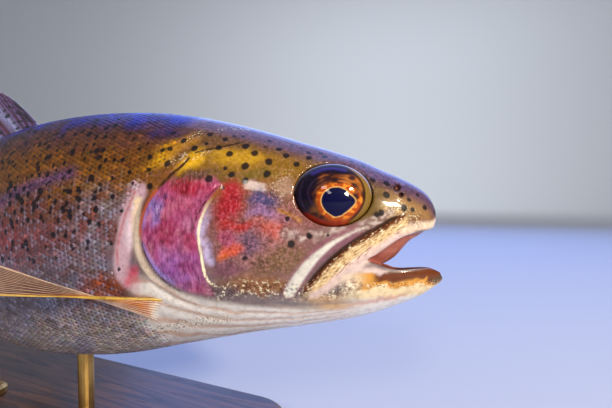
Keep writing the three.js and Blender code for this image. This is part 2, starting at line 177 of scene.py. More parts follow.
# %% [markdown]
# ## Lines and plates on the side of the head
# The hard plates of a trout's head show as ridges, steps and grooves in its skin. Each is a line or
# an outline in side view. Two small measuring tools are enough for all of them: how far a place is
# from a smooth line, and how deep it is inside an outline.

# %% Distances in side view
def smooth_line(points, parts=5):
    """More places along a line through the points, each coordinate a smooth curve of its number."""
    points = np.array(points, float)
    count = np.linspace(0, len(points) - 1, (len(points) - 1) * parts + 1)
    return np.stack([curve(*enumerate(points[:, axis]))(count) for axis in (0, 1)], 1)


def off_stretch(a, b, s, z):
    """Distance to the straight stretch from a to b, and the nearest place's share of the way."""
    reach = b - a
    t = np.clip(((s - a[0]) * reach[0] + (z - a[1]) * reach[1]) / (reach @ reach), 0, 1)
    return np.hypot(s - a[0] - t * reach[0], z - a[1] - t * reach[1]), t


def off_line(points, s, z):
    """Distance to the nearest stretch of the smooth line, and how far along it that is, 0 to 1."""
    line = smooth_line(points)
    nearest = np.full(np.broadcast(s, z).shape, np.inf)
    along = np.zeros(nearest.shape)
    for k, (a, b) in enumerate(zip(line[:-1], line[1:])):
        off, t = off_stretch(a, b, s, z)
        closer = off < nearest
        nearest = np.where(closer, off, nearest)
        along = np.where(closer, (k + t) / (len(line) - 1), along)
    return nearest, along


def depth_inside(points, s, z):
    """Distance to a closed outline, positive inside it and negative outside it."""
    ring = smooth_line([*points, points[0]], 4)[:-1]
    nearest = np.full(np.broadcast(s, z).shape, np.inf)
    inside = np.zeros(nearest.shape, bool)
    for a, b in zip(ring, np.roll(ring, -1, 0)):
        nearest = np.minimum(nearest, off_stretch(a, b, s, z)[0])
        if a[1] != b[1]:
            border = a[0] + (z - a[1]) * (b[0] - a[0]) / (b[1] - a[1])
            inside ^= ((a[1] > z) != (b[1] > z)) & (s < border)
    return np.where(inside, nearest, -nearest)


# %% Where the plates, folds and grooves run, as [behind, up]
GAPE = [
    (-9, 0.6), (-0.4, -1.6), (0.8, -3.6), (3, -4.3), (8, -5.1), (11, -6.2), (14, -8.2), (17, -10.3),
    (20, -12.4), (19.6, -13.6), (17.1, -15.3), (14.6, -16.3), (12.2, -16.7), (10, -16.7),
    (6, -16.3), (2, -16.1), (-1.2, -17.2), (-2.4, -18.2), (-9, -18.4),
]
GILL_COVER = [
    (61, 9.4), (65, 13.4), (70, 15), (74.5, 12.6), (78.6, 9), (82, 4.8), (83.8, 0.4), (84.6, -4.6),
    (83.8, -9.6), (82, -13.9), (79.6, -17.4), (76, -20.8), (70.5, -23.2), (63.4, -23.4), (64.6, -19),
    (66.2, -13.4), (67.2, -6.4), (66.2, -0.6), (63.6, 4.8),
]
MAXILLA = [
    (9.5, 0.8), (12.5, 0.2), (15.5, -1.8), (19, -4), (25.5, -8), (31, -12.4), (35, -16.8),
    (38, -20.4), (38, -22.4), (35.4, -22.6), (31.4, -20.6), (26.5, -16.7), (22, -13.4), (17.6, -10.4),
    (13, -7.2), (9.2, -4),
]
PREOPERCLE = [
    (60.4, 9.2), (62.5, 6.5), (64.6, 3.3), (66.4, -1.3), (67, -4.7), (66.7, -8.4), (66.1, -13.3),
    (65.4, -17.1), (63.9, -19.5), (60.4, -21.2),
]
GILL_SLIT = [
    (82.6, 7.6), (85.2, 4.4), (86.8, 0), (87.6, -4.6), (87.8, -9), (86.8, -13.6), (84.4, -18.2),
    (80.4, -22), (74.6, -25.4), (66, -28.6),
]
SHOULDER = [
    (85.4, 8), (87.2, 3.4), (88.8, -1.8), (90.2, -7.8), (91.3, -14.6), (90.4, -19), (86.8, -22.4),
]
WHITE_FOLD = [
    (20, -2.6), (23, -3.7), (26.5, -5.4), (30, -7.5), (33.5, -10.4), (36.2, -13.2), (38.5, -16.2),
    (40.4, -19), (42.2, -22),
]
UPPER_GROOVE = [
    (10.4, 0.6), (13.5, -0.6), (17, -2.8), (20.5, -4.6), (23.5, -6.5), (26.5, -8.7), (30, -11.7),
    (33, -14.6), (35.5, -17.6), (37.9, -20.6),
]
NAPE = [(71, 18.3), (73, 15.3), (75.6, 12.8), (78, 10.4), (80.1, 7.6)]
NAPE_BRANCH = [(71, 18.4), (67.6, 19.4), (64, 20.2), (60.4, 21), (56.6, 22.2)]
JAW_GROOVE = [
    (9.9, -23.2), (13.2, -23.9), (17, -24.6), (22, -25.3), (28.6, -26), (41, -26.4), (50, -25.2),
]
FOLDS = [
    # what it is, height, half width and its line
    ("edge of the preopercle", 0.4, 0.85, PREOPERCLE),
    (
        "hollow in front of it", -0.35, 1.3,
        [(60, 5), (62.4, 2), (64.2, -2.4), (64.6, -7), (64, -12), (62.6, -17)],
    ),
    ("white fold of the cheek", 0.6, 1.2, WHITE_FOLD),
    ("groove over the upper jaw", -0.7, 0.6, UPPER_GROOVE),
    ("crease up to the nape", -0.5, 0.7, NAPE),
    ("fold behind the crease", 0.35, 0.9, [(72.4, 20), (75, 16.6), (77.4, 13.6), (80, 10.6)]),
    ("gill slit", -0.7, 0.7, GILL_SLIT),
    ("groove under the jaw bone", -0.5, 0.8, JAW_GROOVE),
    ("upper lip", 0.3, 0.9, [(1, -2.6), (4, -3.4), (8, -4.2), (12, -5.6), (16.4, -8.6), (20, -11.8)]),
    ("lower lip", 0.25, 0.8, [(-1.4, -19.1), (4, -19.2), (9, -19.1), (12.6, -18.6), (16.6, -17)]),
    (
        "crease below the lower lip", -0.2, 0.6,
        [(1, -20.9), (6, -20.8), (12, -20.6), (20, -20.6), (26, -20.6)],
    ),
    ("line under the eye", -0.25, 0.8, [(19.4, -0.6), (24, -3), (30, -4.2), (36, -3.4), (40.6, 0)]),
    (
        "rim of the brow", 0.5, 1.4,
        [(18.4, 6), (20.6, 11.4), (26, 15.2), (32, 15.8), (37.4, 13.4), (41, 8.6)],
    ),
    (
        "inner rim of the gill cover", -0.3, 0.5,
        [(82.4, -8), (80.6, -13), (77.4, -17.6), (73, -20.4), (67.6, -21.6)],
    ),
]
NOSTRILS = [(12.1, 8.2, 0.9), (10.9, 6.3, 0.65)]
print(len(FOLDS), "folds,", len(NOSTRILS), "nostrils a side")


# %% Work a side-view measure out once, then read it off
SHEET_STEP = 0.25
SHEET_S, SHEET_Z = np.arange(-9, 101, SHEET_STEP), np.arange(-52, 44, SHEET_STEP)


def read_table(table, i, j):
    """The value at a place given in rows and columns, blended from the four values round it."""
    a, b = i.astype(int), j.astype(int)
    i, j = i - a, j - b
    low = table[a, b] * (1 - i) + table[a + 1, b] * i
    return low * (1 - j) + (table[a, b + 1] * (1 - i) + table[a + 1, b + 1] * i) * j


def sheet(measure):
    """A table of the measure over the head's side view, as a function of s and z."""
    table = measure(*np.meshgrid(SHEET_S, SHEET_Z, indexing="ij"))

    def read(s, z):
        i = np.clip((s - SHEET_S[0]) / SHEET_STEP, 0, len(SHEET_S) - 1.001)
        j = np.clip((z - SHEET_Z[0]) / SHEET_STEP, 0, len(SHEET_Z) - 1.001)
        return read_table(table, i, j)

    return read


gape_depth = sheet(lambda s, z: depth_inside(GAPE, s, z))

# %% [markdown]
# ## The flesh as a field
# A closed skin with an open mouth, eye sockets and soft creases is hard to knit from patches. It is
# easier to say for any place how far it is outside the flesh: rounded cross-sections joined, the
# gape, mouth and sockets taken away, and every fold added as a little height. The skin is then the
# surface where that number is zero.

# %% Cross-sections and eyes
def section(s, y, z, top, bottom, half, middle, power=ROUNDNESS):
    """About the distance to a superellipse: (q - 1) / slope, q = (|y/half|^p + |z/reach|^p)^(1/p)."""
    up = z - middle
    reach = np.where(up > 0, top - middle, middle - bottom)
    across, upright = np.abs(y) / half, np.abs(up) / reach
    q = np.maximum((across**power + upright**power) ** (1 / power), 0.02)
    slope = q ** (1 - power) * np.hypot(across ** (power - 1) / half, upright ** (power - 1) / reach)
    return (q - 1) / np.maximum(slope, 0.02)


EYE_PLACE = np.array([-30.3, 13.4, 6.1])
EYE_RADII = np.array([11.4, 6.0, 9.2])
EYE_YAW, EYE_ROLL = math.radians(11), math.radians(9)


def eye_turn(side):
    """The matrix that turns an eye: rolled to look up a little, then yawed to look ahead."""
    roll = np.array(Matrix.Rotation(side * EYE_ROLL, 3, "X"))
    yaw = np.array(Matrix.Rotation(-side * EYE_YAW, 3, "Z"))
    return yaw @ roll


def off_eye(s, y, z):
    """About the distance to the left eye's ellipsoid: k(k - 1) over the length of its slope."""
    away = np.stack(np.broadcast_arrays(-s, np.abs(y), z), -1) - EYE_PLACE
    own = away @ eye_turn(1)
    k = np.linalg.norm(own / EYE_RADII, axis=-1)
    return k * (k - 1) / np.maximum(np.linalg.norm(own / EYE_RADII**2, axis=-1), 1e-3)


# %% How deep the skin lies under the scales
FIRST_SCALE = curve(
    (-60, 82), (-44, 80), (-36, 83), (-28, 86.5), (-23, 89.5), (-16, 92.6), (-8, 91.6), (0, 89),
    (6, 85.6), (12, 80.4), (17, 76.4), (22, 74), (30, 73.4), (40, 73.4),
)
COAT_DEPTH = 0.3


def scaled(s, z):
    """0 where the first scales are rooted and 1 from ten millimetres behind them."""
    return ease(s - FIRST_SCALE(z), 0, 10)


# %% Relief of the side of the head
THROAT_TOP = curve((26, -27.6), (40, -27.6), (60, -25.6), (72, -23.4), (82, -19))


def throat_place(s, z):
    """0 at the throat's upper edge and 1 at the keel of the belly."""
    return (THROAT_TOP(s) - z) / np.maximum(THROAT_TOP(s) - BELLY(s), 1)


def throat_rays(s, down):
    """Which of the throat's long folds a place is on: 4.5 of them, waving slowly."""
    return 4.5 * down + 0.35 * np.sin(0.09 * s)


def side_relief(s, z):
    """Height of the skin over the plain form: bell-shaped folds, raised plates and throat rays."""
    height = np.zeros(np.shape(s))
    for _, rise, width, line in FOLDS:
        off, along = off_line(line, s, z)
        ends = ease(along, 0, 0.12) * ease(1 - along, 0, 0.12)
        height = height + rise * ends * np.exp(-((off / width) ** 2))
    plate = ease(depth_inside(GILL_COVER, s, z), -0.2, 1.1)
    height += 0.7 * plate * ease(15 - z, 0, 9) * ease(z, -24, -17)
    height += 0.6 * ease(depth_inside(MAXILLA, s, z), -0.2, 1.4)
    for back, up, radius in NOSTRILS:
        off = np.hypot(s - back, z - up) / radius
        height += 0.45 * np.exp(-(((off - 1.7) / 0.5) ** 2)) - 1.5 * np.exp(-(off**2))
    down = throat_place(s, z)
    rays = ease(s, 30, 44) * ease(86 - s, 0, 10) * ease(down, 0, 0.06) * ease(0.75 - down, 0, 0.2)
    height += 0.1 * rays * np.cos(2 * np.pi * throat_rays(s, down))
    return height


relief = sheet(side_relief)
print("highest fold", round(float(relief(*np.meshgrid(SHEET_S, SHEET_Z)).max()), 2), "mm")


# %% The field itself
MOUTH_FLOOR = curve(
    (-6, -18.4), (-1, -18.6), (6, -19.2), (12, -20.4), (20, -25), (34, -29.4), (56, -28),
)
MOUTH_HALF = curve(
    (-6, 1.6), (-1, 1.4), (1, 2.6), (5, 4.6), (11, 7.4), (20, 10.2), (34, 12), (48, 11), (56, 7),
)
MOUTH_MIDDLE = curve((-6, -13), (20, -19), (56, -24))
MOUTH_BACK, MOUTH_ROUNDNESS = 54, 2.4
JAW_TIP, JAW_BACK, LIP_TO_JAW_TOP = -2.4, 46, 9


def mouth_field(s, y, z):
    """The hollow of the mouth, from beyond the lips to the back of the throat."""
    roof = PALATE(s) + 2 * ease(s, 14, 30)
    tube = section(s, y, z, roof, MOUTH_FLOOR(s), MOUTH_HALF(s), MOUTH_MIDDLE(s), MOUTH_ROUNDNESS)
    return soft_max(tube, s - MOUTH_BACK, 1)


def jaw_roll(s, y, z):
    """The open lower jaw hangs a little askew: z plus 0.15 y, only in the jaw's front and height."""
    return z + 0.15 * y * ease(-11 - z, 0, 3) * ease(24 - s, 0, 8)


def hull_field(s, y, z):
    """Distance outside the plain form of head and body."""
    return section(s, y, z, BACK(s), BELLY(s), HALF(s), WIDEST(s))


def jaw_field(s, y, z):
    """Distance outside the plain form of the lower jaw, whose top lies hidden inside the head."""
    return section(s, y, z, LOWER_LIP(s) + LIP_TO_JAW_TOP, CHIN(s), JAW_HALF(s), JAW_MIDDLE(s))


def flesh(s, y, z):
    """Distance outside the flesh: upper and lower parts joined, openings taken away, folds added."""
    gape = gape_depth(s, jaw_roll(s, y, z))
    hull = soft_max(hull_field(s, y, z), -s, 1.2)
    jaw = soft_max(soft_max(jaw_field(s, y, z), JAW_TIP - s, 0.8), s - JAW_BACK, 4)
    outer = soft_max(soft_min(hull, jaw, 0.8), gape, 0.7) - relief(s, z) * ease(3 - hull, 0, 3)
    palate_half = curve((1.6, 1.4), (4, 4), (9, 7.4), (16, 10.6), (26, 14), (46, 16))(s)
    palate_top = curve((0, 0), (10, 2), (46, -8))(s)
    palate_middle = curve((0, -1), (10, -3), (24, -10), (46, -14))(s)
    palate = section(s, y, z, palate_top, PALATE(s), palate_half, palate_middle, 2.6)
    palate = soft_max(soft_max(palate, hull + 2, 0.6), 2 - s, 1)
    made = soft_max(soft_min(outer, palate, 0.8), -mouth_field(s, y, jaw_roll(s, y, z)), 0.7)
    socket = off_eye(s, y, z)
    made = soft_max(made, 0.2 - socket, 0.5)
    made = soft_max(made, s - TAIL_ROOT, 2.5)
    return made + COAT_DEPTH * scaled(s, z)


# %% [markdown]
# ## From the field to a mesh
# The field is worked out on a lattice that follows the fish: fine slices over the head, wider ones
# along the trunk, and cells that shrink with the body. Each cell that the skin passes through gets
# one vertex, at the middle of the places where the skin crosses the cell's edges, and each crossed
# edge joins the four cells round it into a face. Two small steps along the field's slope then
# bring every vertex exactly onto the skin, which keeps creases crisp.

# %% Slices, cells and the net
head_slices = np.concatenate([np.arange(-4, 30, 0.5), np.arange(30, 96, 0.62)])
growing = np.cumsum(np.linspace(0.8, 7, 66))
slices = np.concatenate([head_slices, 96 + growing])
slices = slices[slices < TAIL_ROOT + 4]
across_cells, upright_cells = 64, 100


def net(places, values):
    """Faces and vertices of the surface where values pass through zero on a lattice of places."""
    shape = np.array(values.shape) - 1
    total, count = np.zeros((*shape, 3)), np.zeros(shape)
    quads = []
    number = np.arange(shape.prod()).reshape(shape)
    for axis in range(3):
        low = [slice(None)] * 3
        high = [slice(None)] * 3
        low[axis], high[axis] = slice(None, -1), slice(1, None)
        a, b = values[tuple(low)], values[tuple(high)]
        crossed = (a < 0) != (b < 0)
        t = np.where(crossed, a / np.where(crossed, a - b, 1), 0)[..., None]
        crossing = (places[tuple(low)] * (1 - t) + places[tuple(high)] * t) * crossed[..., None]
        one, two = [k for k in range(3) if k != axis]
        for i in (0, 1):
            for j in (0, 1):
                part = [slice(None)] * 3
                part[one] = slice(i, values.shape[one] - 1 + i)
                part[two] = slice(j, values.shape[two] - 1 + j)
                total += crossing[tuple(part)]
                count += crossed[tuple(part)]
        inner = [slice(None)] * 3
        inner[one] = inner[two] = slice(1, -1)
        where = np.argwhere(crossed[tuple(inner)])
        outward = (a < 0)[tuple(inner)][tuple(where.T)] ^ (axis == 1)
        corners = []
        for i, j in ((0, 0), (1, 0), (1, 1), (0, 1)):
            cell = where.copy()
            cell[:, one] += i
            cell[:, two] += j
            corners.append(number[tuple(cell.T)])
        corners = np.stack(corners, 1)
        quads.append(np.where(outward[:, None], corners, corners[:, ::-1]))
    quads = np.concatenate(quads)
    used, faces = np.unique(quads, return_inverse=True)
    points = (total / np.maximum(count, 1)[..., None]).reshape(-1, 3)[used]
    return points, faces.reshape(-1, 4)


def settle(points, steps=2, reach=0.05):
    """Newton steps: move each point against the field's slope by field over slope squared."""
    for _ in range(steps):
        here = flesh(*points.T)
        slope = np.stack([(flesh(*(points + reach * axis).T) - here) / reach for axis in np.eye(3)], 1)
        step = here[:, None] * slope / np.maximum((slope**2).sum(1), 0.05)[:, None]
        size = np.linalg.norm(step, axis=1, keepdims=True)
        points = points - step * np.minimum(1, 0.35 / np.maximum(size, 1e-9))
    return points


def fish_lattice():
    """Slices s, then y across by the local half width, then z upright from chin to back."""
    s = slices[:, None, None]
    wide = np.maximum(HALF(s), np.where(s < 50, JAW_HALF(s), 0)) + 2.4
    low = np.minimum(BELLY(s), np.where(s < 50, CHIN(s), 0)) - 2.4
    high = BACK(s) + 2.6
    y = wide * np.linspace(-1, 1, across_cells)[None, :, None]
    z = low + (high - low) * np.linspace(0, 1, upright_cells)[None, None, :]
    return s, y, z


lattice = fish_lattice()
points, skin_faces = net(np.stack(np.broadcast_arrays(*lattice), -1), flesh(*lattice))
skin_rest = settle(points)
print("skin:", len(skin_rest), "vertices,", 2 * len(skin_faces), "triangles")

# %% [markdown]
# ## Markings
# A trout's colours follow its plates: gold over the head, rose and violet on the gill cover, red
# and orange on the cheek, white along the throat. They are laid on like paint, one soft patch over
# another, each with a place on the side of the fish, a size and a colour. Skin and scales ask the
# same function, so the markings run on from one to the other. Slow random blotches wobble every
# edge, as pigment does.

# %% Colour, blotches and brush strokes
def tint(red, green, blue):
    """A screen colour of 0 to 255 as the light it stands for."""
    c = np.array([red, green, blue]) / 255
    return np.where(c < 0.04045, c / 12.92, ((c + 0.055) / 1.055) ** 2.4)


def blotches(seed, size, s, y, z):
    """Random values at the corners of cubes of `size` mm, eased between the eight corners; 0 to 1."""
    table = np.random.default_rng(seed).random(8192)
    place = np.stack(np.broadcast_arrays(s, y, z), -1) / size + 1000
    corner = np.floor(place).astype(np.int64)
    t = place - corner
    t = t * t * (3 - 2 * t)
    value = 0
    for i in (0, 1):
        for j in (0, 1):
            for k in (0, 1):
                key = (corner[..., 0] + i) * 73856093
                key ^= (corner[..., 1] + j) * 19349663
                key ^= (corner[..., 2] + k) * 83492791
                part = np.where([i, j, k], t, 1 - t).prod(-1)
                value = value + part * table[key % 8192]
    return value


def lay(colour, under, mask):
    """Paint over what is under it, as strongly as the mask of 0 to 1 says."""
    return under + (colour - under) * mask[..., None]


def blob(s, z, place, size, lean=0.0):
    """1 at a soft round patch's middle, 0 past its edge; `lean` turns it, in degrees."""
    ds, dz = s - place[0], z - place[1]
    c, d = math.cos(math.radians(lean)), math.sin(math.radians(lean))
    return ease(1.25 - np.hypot((ds * c + dz * d) / size[0], (dz * c - ds * d) / size[1]), 0, 0.9)


def lay_patches(patches, colour, s, z):
    """Lays a table of soft round patches on, one after another."""
    for place, size, lean, paint, strength in patches:
        colour = lay(paint, colour, strength * blob(s, z, place, size, lean))
    return colour


def band(s, z, line, width, soft=0.5):
    """1 along a line, fading out over `soft` mm past its half width."""
    off, _ = off_line(line, s, z)
    return ease(width + soft - off, 0, 2 * soft)


# %% The colours of the whole fish
UPRIGHT_COLOURS = [
    # from the keel of the belly, -1, over the widest place, 0, to the ridge of the back, 1
    # the lowest stops are the belly's pale silver darkened partly as painted shade; the violet and blue at
    # 0.9 and 1.0 are a painted reflection of the sky on the wet back
    (-1.0, tint(196, 186, 176)), (-0.76, tint(164, 150, 142)), (-0.5, tint(118, 100, 104)),
    (-0.2, tint(108, 84, 86)), (0.06, tint(118, 74, 66)), (0.24, tint(116, 70, 46)),
    (0.42, tint(136, 84, 16)), (0.62, tint(120, 72, 16)), (0.8, tint(84, 48, 48)),
    (0.9, tint(54, 40, 110)), (1.0, tint(26, 42, 190)),
]
SOFT_PATCHES = [
    # place, size, lean, colour and strength, laid on in this order
    ((24, 6), (17, 9), 20, tint(112, 88, 34), 0.9),
    ((9, 3.4), (9, 4), 30, tint(176, 134, 76), 0.85),
    ((13, 1), (6, 3), 35, tint(214, 174, 118), 0.8),
    ((54, 15), (22, 5.5), 4, tint(156, 112, 0), 1.0),
    ((58, 17), (9, 2.8), 8, tint(222, 170, 0), 0.75),
    ((70.4, 16.4), (5.4, 2.4), -46, tint(255, 196, 0), 0.95),
    ((76, 21), (7, 3), -20, tint(190, 130, 2), 0.85),
    # gold patch behind the nape crease: partly the skin's gold, partly a painted highlight
    ((79.6, 17), (5, 2.4), -35, tint(216, 156, 6), 0.85),
    ((67, 12.6), (5, 1.8), -8, tint(104, 78, 52), 0.85),
    ((44.5, 15), (6, 2.4), 0, tint(140, 100, 6), 0.7),
    ((51, 11.6), (5, 2), 0, tint(120, 100, 30), 0.75),
    ((60, 11.6), (7, 2.4), -12, tint(112, 84, 30), 0.7),
    ((50, -6), (19, 14), 0, tint(164, 108, 98), 0.9),
    # the next two pale patches on the cheek are painted highlights
    ((43, 8.6), (3.2, 3), 0, tint(190, 156, 128), 0.7),
    ((52.6, 8.8), (2.2, 1.8), 0, tint(196, 170, 168), 0.45),
    ((49, 5), (5.4, 2.8), 0, tint(70, 72, 128), 0.9),
    ((49.2, 1.4), (5.5, 2.2), 0, tint(150, 112, 168), 0.8),
    ((43.5, 0), (4, 2), 0, tint(160, 104, 134), 0.6),
    ((59, 4), (4.6, 7.4), 8, tint(186, 30, 40), 1.0),
    ((55.6, -2.4), (6.2, 2), 0, tint(196, 42, 36), 0.9),
    ((46.2, -3.6), (5.4, 2.8), 10, tint(208, 96, 80), 0.85),
    ((58.6, -5.8), (3.6, 2.4), 0, tint(190, 70, 112), 0.85),
    ((52.6, -7.4), (4.6, 4.6), 0, tint(98, 72, 100), 0.85),
    ((58.2, -9.4), (4, 2.3), -14, tint(238, 84, 30), 0.9),
    ((60.2, -11.4), (2.4, 1.5), -20, tint(250, 120, 40), 0.85),
    ((43, -11.6), (7.5, 4.6), -25, tint(126, 94, 48), 0.85),
    ((49, -14.6), (5, 3), -10, tint(122, 88, 50), 0.75),
    ((59, -15), (4.6, 3.4), 0, tint(126, 74, 88), 0.85),
    ((50.5, -19.4), (13, 3.4), 0, tint(156, 106, 62), 0.95),
    ((31, -25), (9, 3.4), 6, tint(206, 164, 118), 0.8),
    ((23, -17.4), (5.5, 2.6), -38, tint(236, 204, 192), 0.9),
]
GILL_PATCHES = [
    ((74, -15), (9, 7), -20, tint(160, 92, 176), 0.85),
    ((70.5, 8.6), (7.5, 3), 8, tint(186, 26, 44), 0.9),
    ((66, 2), (3, 6), 0, tint(190, 92, 132), 0.6),
    ((80, 1.6), (2.6, 5.4), -8, tint(150, 128, 214), 0.8),
    ((72.4, 3.6), (5, 3.4), 0, tint(212, 98, 132), 0.7),
    ((76.5, -4), (3.4, 5.6), 0, tint(176, 50, 84), 0.75),
    ((69.4, -6.6), (3.4, 5), 0, tint(184, 54, 92), 0.7),
    ((71, -14.5), (3.6, 2.6), 0, tint(160, 50, 104), 0.7),
    ((66.8, -18), (3, 4), 0, tint(160, 80, 132), 0.7),
    ((77.4, 5.8), (1.7, 1.5), 0, tint(90, 40, 96), 0.8),
    ((70, -2), (3, 2), 20, tint(226, 150, 186), 0.5),
    ((77, -10), (2.4, 3), 0, tint(196, 120, 190), 0.6),
    ((72, -9), (2, 3.6), -20, tint(206, 110, 160), 0.5),
]
LAVENDER = [(63, 5.2), (65, 0.6), (66, -5), (65.6, -9), (64.2, -13)]
MEMBRANE = [
    (85.6, 5), (86.4, -2), (86.2, -8.6), (84.8, -13.6), (82, -18.2), (77.4, -22.4), (70, -25.6),
]
EYE_CORNER = [(38.4, -1), (41, 0.6), (44.6, 2)]
UNDER_EYE = [(14, 1), (18, -1.4), (24, -3.2), (30, -4.6), (37, -5), (43, -4.4)]
GLINT_BAND = [(24, -20), (34, -21.8), (46, -20.8), (56, -20.4), (63, -22)]
# a painted reflection of the sky: a blue streak along the wet upper side
PAINTED_SKY_STREAK = [(108, 14), (122, 11), (140, 6), (160, 0)]
COVER_EDGES = [
    # the violet edge of the gill cover: line, half width, softness and strength
    ([(84, -8.4), (82, -12.6), (79.4, -16.4), (75.6, -19.6)], 0.7, 0.7, 1.0),
    ([(80.6, 4.6), (82.6, 0.6), (83.6, -3)], 0.5, 1, 0.8),
]
BLOOD_LINE = [(86.4, 8), (89.8, -1), (92, -9), (92.6, -15)]
LIP_LINE = [
    (8, -4.4), (12, -6), (16.6, -9.2), (21, -12.6), (26, -16.4), (31.4, -20.4), (35.6, -22.8),
]
SNOUT_LIP = [(-1, -1.2), (2, -2.6), (6, -2.8), (10, -4)]


def body_colour(s, y, z, wobble, fine):
    """Colour by height on the body, with painted shade on the belly and a painted reflection of the sky
    along the ridge, a rosy band along the side, a painted sky streak and silver blotches below it.
    """
    up = z - WIDEST(s)
    share = up / height_of_half(s, up > 0) + 0.16 * wobble[0] + 0.06 * fine[1]
    stops, colours = zip(*UPRIGHT_COLOURS)
    colour = np.stack([np.interp(share, stops, np.array(colours)[:, k]) for k in range(3)], -1)
    rose = ease(0.34 - np.abs(share - 0.02), 0, 0.3) * (0.25 + 0.75 * ease(s, 96, 140))
    colour = lay(tint(160, 58, 62), colour, 0.5 * rose * ease(350 - s, 0, 60))
    # painted reflection of the sky along the upper side
    colour = lay(tint(66, 52, 140), colour, 0.6 * band(s, z, PAINTED_SKY_STREAK, 1.6, 3))
    silver = ease(blotches(11, 7, s, y, z), 0.5, 0.8) * ease(-share, 0.0, 0.3) * ease(s, 84, 92)
    colour = lay(tint(136, 138, 172), colour, 0.5 * silver)
    shoulder = blob(s, z, (96, -4), (12, 14)) * ease(blotches(12, 3, s, y, z), 0.3, 0.7)
    return lay(tint(146, 140, 150), colour, 0.6 * shoulder)


def cover_colour(s, y, z, a, b):
    """The gill cover: rose and magenta, with red at the top, violet below and a lavender rear."""
    mottle = blotches(13, 2.2, s, y, z)
    plate = lay(tint(228, 128, 160), tint(192, 74, 128), ease(mottle, 0.4, 0.8))
    plate = lay_patches(GILL_PATCHES, plate, a, b)
    edges = [strength * band(s, z, *line) for *line, strength in COVER_EDGES]
    return lay(tint(178, 164, 250), plate, 0.85 * np.maximum(*edges))


def jaws_colour(s, y, z, a, b, colour):
    """Upper jaw bone, lip and white fold, then the lower jaw's amber lip and cream side."""
    below, along = off_line(UPPER_GROOVE, s, z)
    ragged, fringed = (blotches(*lumps, s, y, z) - 0.5 for lumps in ((23, 1.5), (29, 1.2)))
    bone = lay(tint(122, 62, 20), tint(236, 200, 142), ease(1.9 - below + 1.2 * ragged, 0, 0.9))
    bone = lay(tint(240, 204, 190), bone, ease(below + 0.6 * fringed, 3.4, 4.6))
    colour = lay(bone, colour, ease(depth_inside(MAXILLA, s, z), -0.5, 0.3))
    colour = lay(tint(242, 212, 198), colour, band(s, z, LIP_LINE, 1.0, 0.8))
    colour = lay(tint(240, 214, 186), colour, band(s, z, SNOUT_LIP, 1.2, 0.7))
    off, along = off_line(WHITE_FOLD, s, z)
    colour = lay(tint(158, 98, 116), colour, 0.6 * ease(2.6 - off, 0, 1) * ease(along, 0, 0.2))
    width = 0.1 + 1.4 * ease(along, 0.05, 0.8)
    colour = lay(tint(238, 232, 218), colour, ease(width + 0.4 - off, 0, 0.8))

    side = lay(tint(240, 232, 224), tint(246, 222, 176), ease(-b - 23, 0, 2))
    side = lay(tint(226, 154, 40), side, 0.95 * ease(b, -20.9, -20.2) * ease(25 - a, 0, 6))
    side = lay(tint(112, 52, 8), side, ease(b, -19.5, -18.8) * ease(19.4 - a, 0, 2.4))
    side = lay(tint(84, 66, 28), side, 0.85 * blob(a, b, (-1, -19), (3.4, 1.6)))
    web = ease(b, -16.6, -15.8) * ease(s, 9, 11.5)
    side = lay(tint(232, 206, 196), side, web)
    side = lay(tint(206, 130, 112), side, 0.75 * band(a, b, JAW_GROOVE, 0.5, 1.0))
    lower = ease(LOWER_LIP(s) + 0.4 - z, -0.6, 0.2) * ease(-14.6 - z, -0.4, 0.4)
    lower = lower * ease(30 - s, 0, 10)
    return lay(side, colour, lower)


